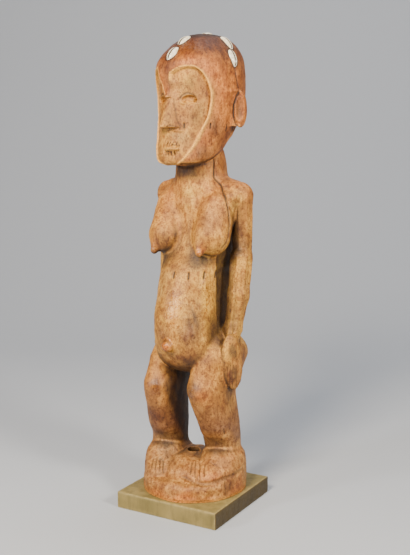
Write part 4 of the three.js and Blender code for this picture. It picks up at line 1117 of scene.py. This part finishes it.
# The cowrie shells: eight small glossy shells, glued half sunk in the crown in a cross, slit side out.
# Each keeps its natural teeth along the slit.
SHELL_HALF = (7.0, 11.6, 5.0)
SHELL_SINK = 2.2  # depth of its middle below the wood's surface
HEAD_MIDDLE = (0, 22, 560)
SHELL_START = 100  # distance from there that the way to the surface starts from
TOUCH_STEPS = 200
TOUCH_SHARE = 0.6  # of the distance left, taken in each step
SHELL_LEAN = -0.2  # tips a shell's length from straight up towards the crown
SHELL_ROUND, SHELL_LONG = 56, 36  # facets round it and from end to end
SLIT_DEPTH = 1.6
TOOTH_SPACING = 1.7
SEAT_DARK = 0.85
SEAT_BAND = (0.2, 2.2)  # beyond the shell: where its dark seat starts to fade and ends
COWRIES = {
    "cowrie_front_low": (62.5, -4.5),
    "cowrie_front_high": (38.5, -5),
    "cowrie_left_low": (61, 88),
    "cowrie_left_high": (36.5, 96),
    "cowrie_right_low": (61, -88),
    "cowrie_right_high": (36.5, -96),
    "cowrie_back_low": (33, 180),
    "cowrie_back_high": (7, 180),
}
SHELL_WHITE = "#F3EEDF"
SHELL_CREAM = "#D9C9A3"
SLIT_DARK = "#3A2A1A"


def shell_place(down, bearing):
    """Where a shell sits on the crown: its middle, and its directions across, along and out."""
    a, b = math.radians(down), math.radians(bearing)
    straight = (math.sin(a) * math.sin(b), -math.sin(a) * math.cos(b), math.cos(a))
    outward = np.array(turned(straight, math.radians(BODY_TURN)))
    point = np.array(turned(HEAD_MIDDLE, math.radians(BODY_TURN))) + outward * SHELL_START
    for _ in range(TOUCH_STEPS):
        point = point - outward * TOUCH_SHARE * float(carving(point[:, None])[0])
    out = slope_at(point[None, :], 0.2)[0]
    out = out / np.linalg.norm(out)
    across = np.cross(np.array([0, 0, 1]) + SHELL_LEAN * outward, out)
    across = across / np.linalg.norm(across)
    return point - out * SHELL_SINK, across, np.cross(out, across), out


def darken_seats(mesh):
    """The dark gum and dirt in the wood round each shell."""
    points = vertex_array(mesh).T / MM
    data = mesh.attributes["dirt_and_shade"].data
    dirt_and_shade = np.empty(len(data), np.float32)
    data.foreach_get("value", dirt_and_shade)
    for angles in COWRIES.values():
        middle, _, along, _ = shell_place(*angles)
        reach = along * (SHELL_HALF[1] - SHELL_HALF[0])
        _, away = along_limb(points, middle - reach, middle + reach)
        beyond = length(away) - SHELL_HALF[0]
        dirt_and_shade = np.maximum(dirt_and_shade, SEAT_DARK * (1 - smooth_step(*SEAT_BAND, beyond)))
    data.foreach_set("value", dirt_and_shade.astype(np.float32))


def shell_points():
    """A mesh of one point for each shell, which carries the directions that the shell lies in."""
    places = [shell_place(*angles) for angles in COWRIES.values()]
    mesh = bpy.data.meshes.new("cowrie_places")
    mesh.from_pydata([list(place[0] * MM) for place in places], [], [])
    for name, i in (("along", 2), ("out", 3)):
        data = mesh.attributes.new(name, "FLOAT_VECTOR", "POINT").data
        data.foreach_set("vector", np.array([place[i] for place in places], np.float32).ravel())
    return mesh


# A shell's shape from a ball: what each step gives, how, and from which earlier values or numbers.
# It is egg-shaped, with a toothed slit along its upper side that fades out towards its ends.
SHELL_STEPS = [
    ("up", "MULTIPLY", "below", -1),
    ("taper", "MULTIPLY_ADD", "along", 0.16, 1),
    ("wide", "MULTIPLY", "across", "taper"),
    ("wide", "MULTIPLY", "wide", "Half width"),
    ("long", "MULTIPLY", "along", "Half length"),
    ("high", "MULTIPLY", "up", "Half height"),
    ("turns", "MULTIPLY", "long", math.tau),
    ("turns", "DIVIDE", "turns", "Tooth spacing"),
    ("teeth", "SINE", "turns"),
    ("slit half", "MULTIPLY_ADD", "teeth", 0.05, 0.15),
    ("off slit", "ABSOLUTE", "across"),
    ("off slit", "DIVIDE", "off slit", "slit half"),
    ("sunk", "SMOOTHSTEP", "off slit", 0.6, 1.7, 1, 0),
    ("off middle", "ABSOLUTE", "along"),
    ("in slit", "SMOOTHSTEP", "off middle", 0.98, 0.8, 0, 1),
    ("on top", "GREATER_THAN", "up", 0),
    ("share", "MULTIPLY", "sunk", "on top"),
    ("share", "MULTIPLY", "share", "in slit"),
    ("lowered", "MULTIPLY", "share", "Slit depth"),
    ("high", "SUBTRACT", "high", "lowered"),
]


def shell_tree(material):
    """Geometry nodes that grow a cowrie at each point, turned to lie along and out from the crown."""
    tree = bpy.data.node_groups.new("cowries", "GeometryNodeTree")
    sockets = tree.interface
    sockets.new_socket("Geometry", in_out="INPUT", socket_type="NodeSocketGeometry")
    sockets.new_socket("Geometry", in_out="OUTPUT", socket_type="NodeSocketGeometry")
    for name in ("Half width", "Half length", "Half height", "Slit depth", "Tooth spacing"):
        sockets.new_socket(name, in_out="INPUT", socket_type="NodeSocketFloat")
    values = {socket.name: socket for socket in add_node(tree, "NodeGroupInput").outputs}
    at = add_node(tree, "GeometryNodeInputPosition")
    parts = add_node(tree, "ShaderNodeSeparateXYZ", Vector=at).outputs
    values |= {"across": parts["X"], "below": parts["Y"], "along": parts["Z"]}
    for result, how, *terms in SHELL_STEPS:
        kind, setting = "ShaderNodeMath", "operation"
        if how == "SMOOTHSTEP":
            kind, setting = "ShaderNodeMapRange", "interpolation_type"
        inputs = {f"_{i}": values.get(term, term) for i, term in enumerate(terms)}
        step = add_node(tree, kind, {setting: how}, **inputs)
        values[result] = step.outputs[0]
    shape = add_node(tree, "ShaderNodeCombineXYZ", X=values["wide"], Y=values["long"], Z=values["high"])
    ball = add_node(tree, "GeometryNodeMeshUVSphere", Segments=SHELL_ROUND, Rings=SHELL_LONG, Radius=1.0)
    marked = add_node(
        tree,
        "GeometryNodeStoreNamedAttribute",
        {"data_type": "FLOAT", "domain": "POINT"},
        Geometry=ball,
        Name="slit",
        Value=values["share"],
    )
    shaped = add_node(tree, "GeometryNodeSetPosition", Geometry=marked, Position=shape)
    directions = {}
    for name in ("along", "out"):
        vectors = {"data_type": "FLOAT_VECTOR"}
        directions[name] = add_node(tree, "GeometryNodeInputNamedAttribute", vectors, Name=name)
    turn = add_node(
        tree,
        "FunctionNodeAxesToRotation",
        {"primary_axis": "Z", "secondary_axis": "Y"},
        _0=directions["out"],
        _1=directions["along"],
    )
    places = add_node(tree, "GeometryNodeMeshToPoints", Mesh=values["Geometry"])
    planted = add_node(tree, "GeometryNodeInstanceOnPoints", Points=places, Instance=shaped, Rotation=turn)
    real = add_node(tree, "GeometryNodeRealizeInstances", Geometry=planted)
    smoothed = add_node(tree, "GeometryNodeSetShadeSmooth", Geometry=real)
    dressed = add_node(tree, "GeometryNodeSetMaterial", Geometry=smoothed, Material=material)
    add_node(tree, "NodeGroupOutput", Geometry=dressed)
    return tree


def glossy_shell():
    """Cowrie shell: a smooth, hard, polished off-white with creamy shading and a brown slit."""
    material, tree, shader, place = start_material("polished cowrie shell", 0.22, 1.56)
    blotches = add_node(tree, "ShaderNodeTexNoise", Vector=place, Scale=260, Detail=3, Roughness=0.6)
    cloud = add_node(tree, "ShaderNodeMapRange", Value=blotches, From_Min=0.4, From_Max=0.65)
    body = add_node(tree, "ShaderNodeMix", MIX, _0=cloud, _6=linear(SHELL_WHITE), _7=linear(SHELL_CREAM))
    slit = add_node(tree, "ShaderNodeAttribute", {"attribute_name": "slit"}).outputs["Fac"]
    dark = add_node(tree, "ShaderNodeMapRange", Value=slit, From_Min=0.05, From_Max=0.45)
    colour = add_node(tree, "ShaderNodeMix", MIX, _0=dark, _6=body.outputs[2], _7=linear(SLIT_DARK))
    tree.links.new(colour.outputs[2], shader.inputs["Base Color"])
    bump = add_node(tree, "ShaderNodeBump", Height=cloud, Strength=0.12, Distance=0.4 * MM)
    tree.links.new(bump.outputs[0], shader.inputs["Normal"])
    return material


def make_cowries():
    material = glossy_shell()
    maker = bpy.data.objects.new("cowrie_maker", shell_points())
    bpy.context.collection.objects.link(maker)
    tree = shell_tree(material)
    grow = maker.modifiers.new("cowries", "NODES")
    grow.node_group = tree
    sizes = {
        "Half width": SHELL_HALF[0] * MM,
        "Half length": SHELL_HALF[1] * MM,
        "Half height": SHELL_HALF[2] * MM,
        "Slit depth": SLIT_DEPTH * MM,
        "Tooth spacing": TOOTH_SPACING * MM,
    }
    for item in tree.interface.items_tree:
        if item.in_out == "INPUT" and item.name in sizes:
            grow[item.identifier] = sizes[item.name]
    mesh = bpy.data.meshes.new_from_object(maker.evaluated_get(bpy.context.evaluated_depsgraph_get()))
    bpy.data.objects.remove(maker)
    shells = bpy.data.objects.new("cowrie_shells", mesh)
    bpy.context.collection.objects.link(shells)
    return shells, material


darken_seats(figure.data)
shells, shell_material = make_cowries()
finish_piece(shells, shell_material, list(COWRIES))


# The setting: a pale plain floor that curves up into a backdrop, soft light mostly from the viewer's left,
# and a camera where the photograph was taken from.
CAMERA_AT = (0.597645, -1.006549, 0.476854)
CAMERA_FORWARD = (-0.49463221, 0.85695707, -0.14478795)
FOCAL_PIXELS = 900
PHOTO_HEIGHT = 555
SENSOR = 36
FLOOR_GREY = "#B4B9C1"
FLOOR_HALF_WIDTH = 5
FLOOR_NEAR, FLOOR_FAR = -4, 0.9  # from in front of the figure to where it begins to rise behind it
FLOOR_TOP = 5
FLOOR_CURVE = 1.2  # radius that it rises in
CURVE_STEPS = 16


def make_floor():
    """A wide floor that rises behind the figure in a smooth curve."""
    forward = Vector((CAMERA_FORWARD[0], CAMERA_FORWARD[1], 0)).normalized()
    across = Vector((-forward.y, forward.x, 0))
    profile = [(FLOOR_NEAR, 0), (FLOOR_FAR, 0)]
    for step in range(1, CURVE_STEPS + 1):
        angle = math.radians(90 * step / CURVE_STEPS)
        up = FLOOR_CURVE - FLOOR_CURVE * math.cos(angle)
        profile.append((FLOOR_FAR + FLOOR_CURVE * math.sin(angle), up))
    profile.append((FLOOR_FAR + FLOOR_CURVE, FLOOR_TOP))
    bm = bmesh.new()
    rows = []
    for far, up in profile:
        middle = forward * far + Vector((0, 0, up))
        rows.append([bm.verts.new(middle + across * side) for side in (FLOOR_HALF_WIDTH, -FLOOR_HALF_WIDTH)])
    for a, b in zip(rows, rows[1:]):
        bm.faces.new((a[0], a[1], b[1], b[0]))
    mesh = bpy.data.meshes.new("floor")
    bm.to_mesh(mesh)
    bm.free()
    mesh.shade_smooth()
    floor = bpy.data.objects.new("floor", mesh)
    bpy.context.collection.objects.link(floor)
    material, _, shader, _ = start_material("matt grey paper", 0.9, 1.45)
    shader.inputs["Base Color"].default_value = linear(FLOOR_GREY)
    mesh.materials.append(material)


def add_light(name, place, target, size, power, colour):
    data = bpy.data.lights.new(name, "AREA")
    data.shape = "DISK"
    data.size = size
    data.energy = power
    data.color = linear(colour)[:3]
    light = bpy.data.objects.new(name, data)
    light.location = place
    light.rotation_euler = (Vector(target) - Vector(place)).to_track_quat("-Z", "Y").to_euler()
    bpy.context.collection.objects.link(light)


# Lights round the figure: degrees from the plinth's front, degrees up, distance, size, watts and colour.
FIGURE_MIDDLE = Vector((0, 0, 0.33))
LIGHTS = {
    "key": (6, 37, 1.9, 0.6, 66, "#FFEDD2"),
    "left": (-30, 16, 1.6, 0.25, 11, "#FFFFFF"),
    "right": (72, 26, 1.8, 0.4, 31, "#FFF6E6"),
}
SKY = "#C6D6F2"
SKY_STRENGTH = 0.24

make_floor()
for name, (azimuth, elevation, distance, size, power, colour) in LIGHTS.items():
    a, e = math.radians(azimuth), math.radians(elevation)
    out = Vector((math.sin(a) * math.cos(e), -math.cos(a) * math.cos(e), math.sin(e)))
    add_light(name, FIGURE_MIDDLE + out * distance, FIGURE_MIDDLE, size, power, colour)
add_light("backdrop", (0.2, 1.2, 2.6), (-0.4, 1.4, 0.2), 1.6, 22, "#FFFFFF")

world = bpy.data.worlds.new("studio")
bpy.context.scene.world = world
world.use_nodes = True
background = world.node_tree.nodes["Background"]
background.inputs["Color"].default_value = linear(SKY)
background.inputs["Strength"].default_value = SKY_STRENGTH

camera_data = bpy.data.cameras.new("camera")
camera_data.sensor_width = SENSOR
camera_data.lens = FOCAL_PIXELS / PHOTO_HEIGHT * SENSOR
camera = bpy.data.objects.new("camera", camera_data)
camera.location = CAMERA_AT
camera.rotation_euler = Vector(CAMERA_FORWARD).to_track_quat("-Z", "Y").to_euler()
bpy.context.collection.objects.link(camera)
bpy.context.scene.camera = camera
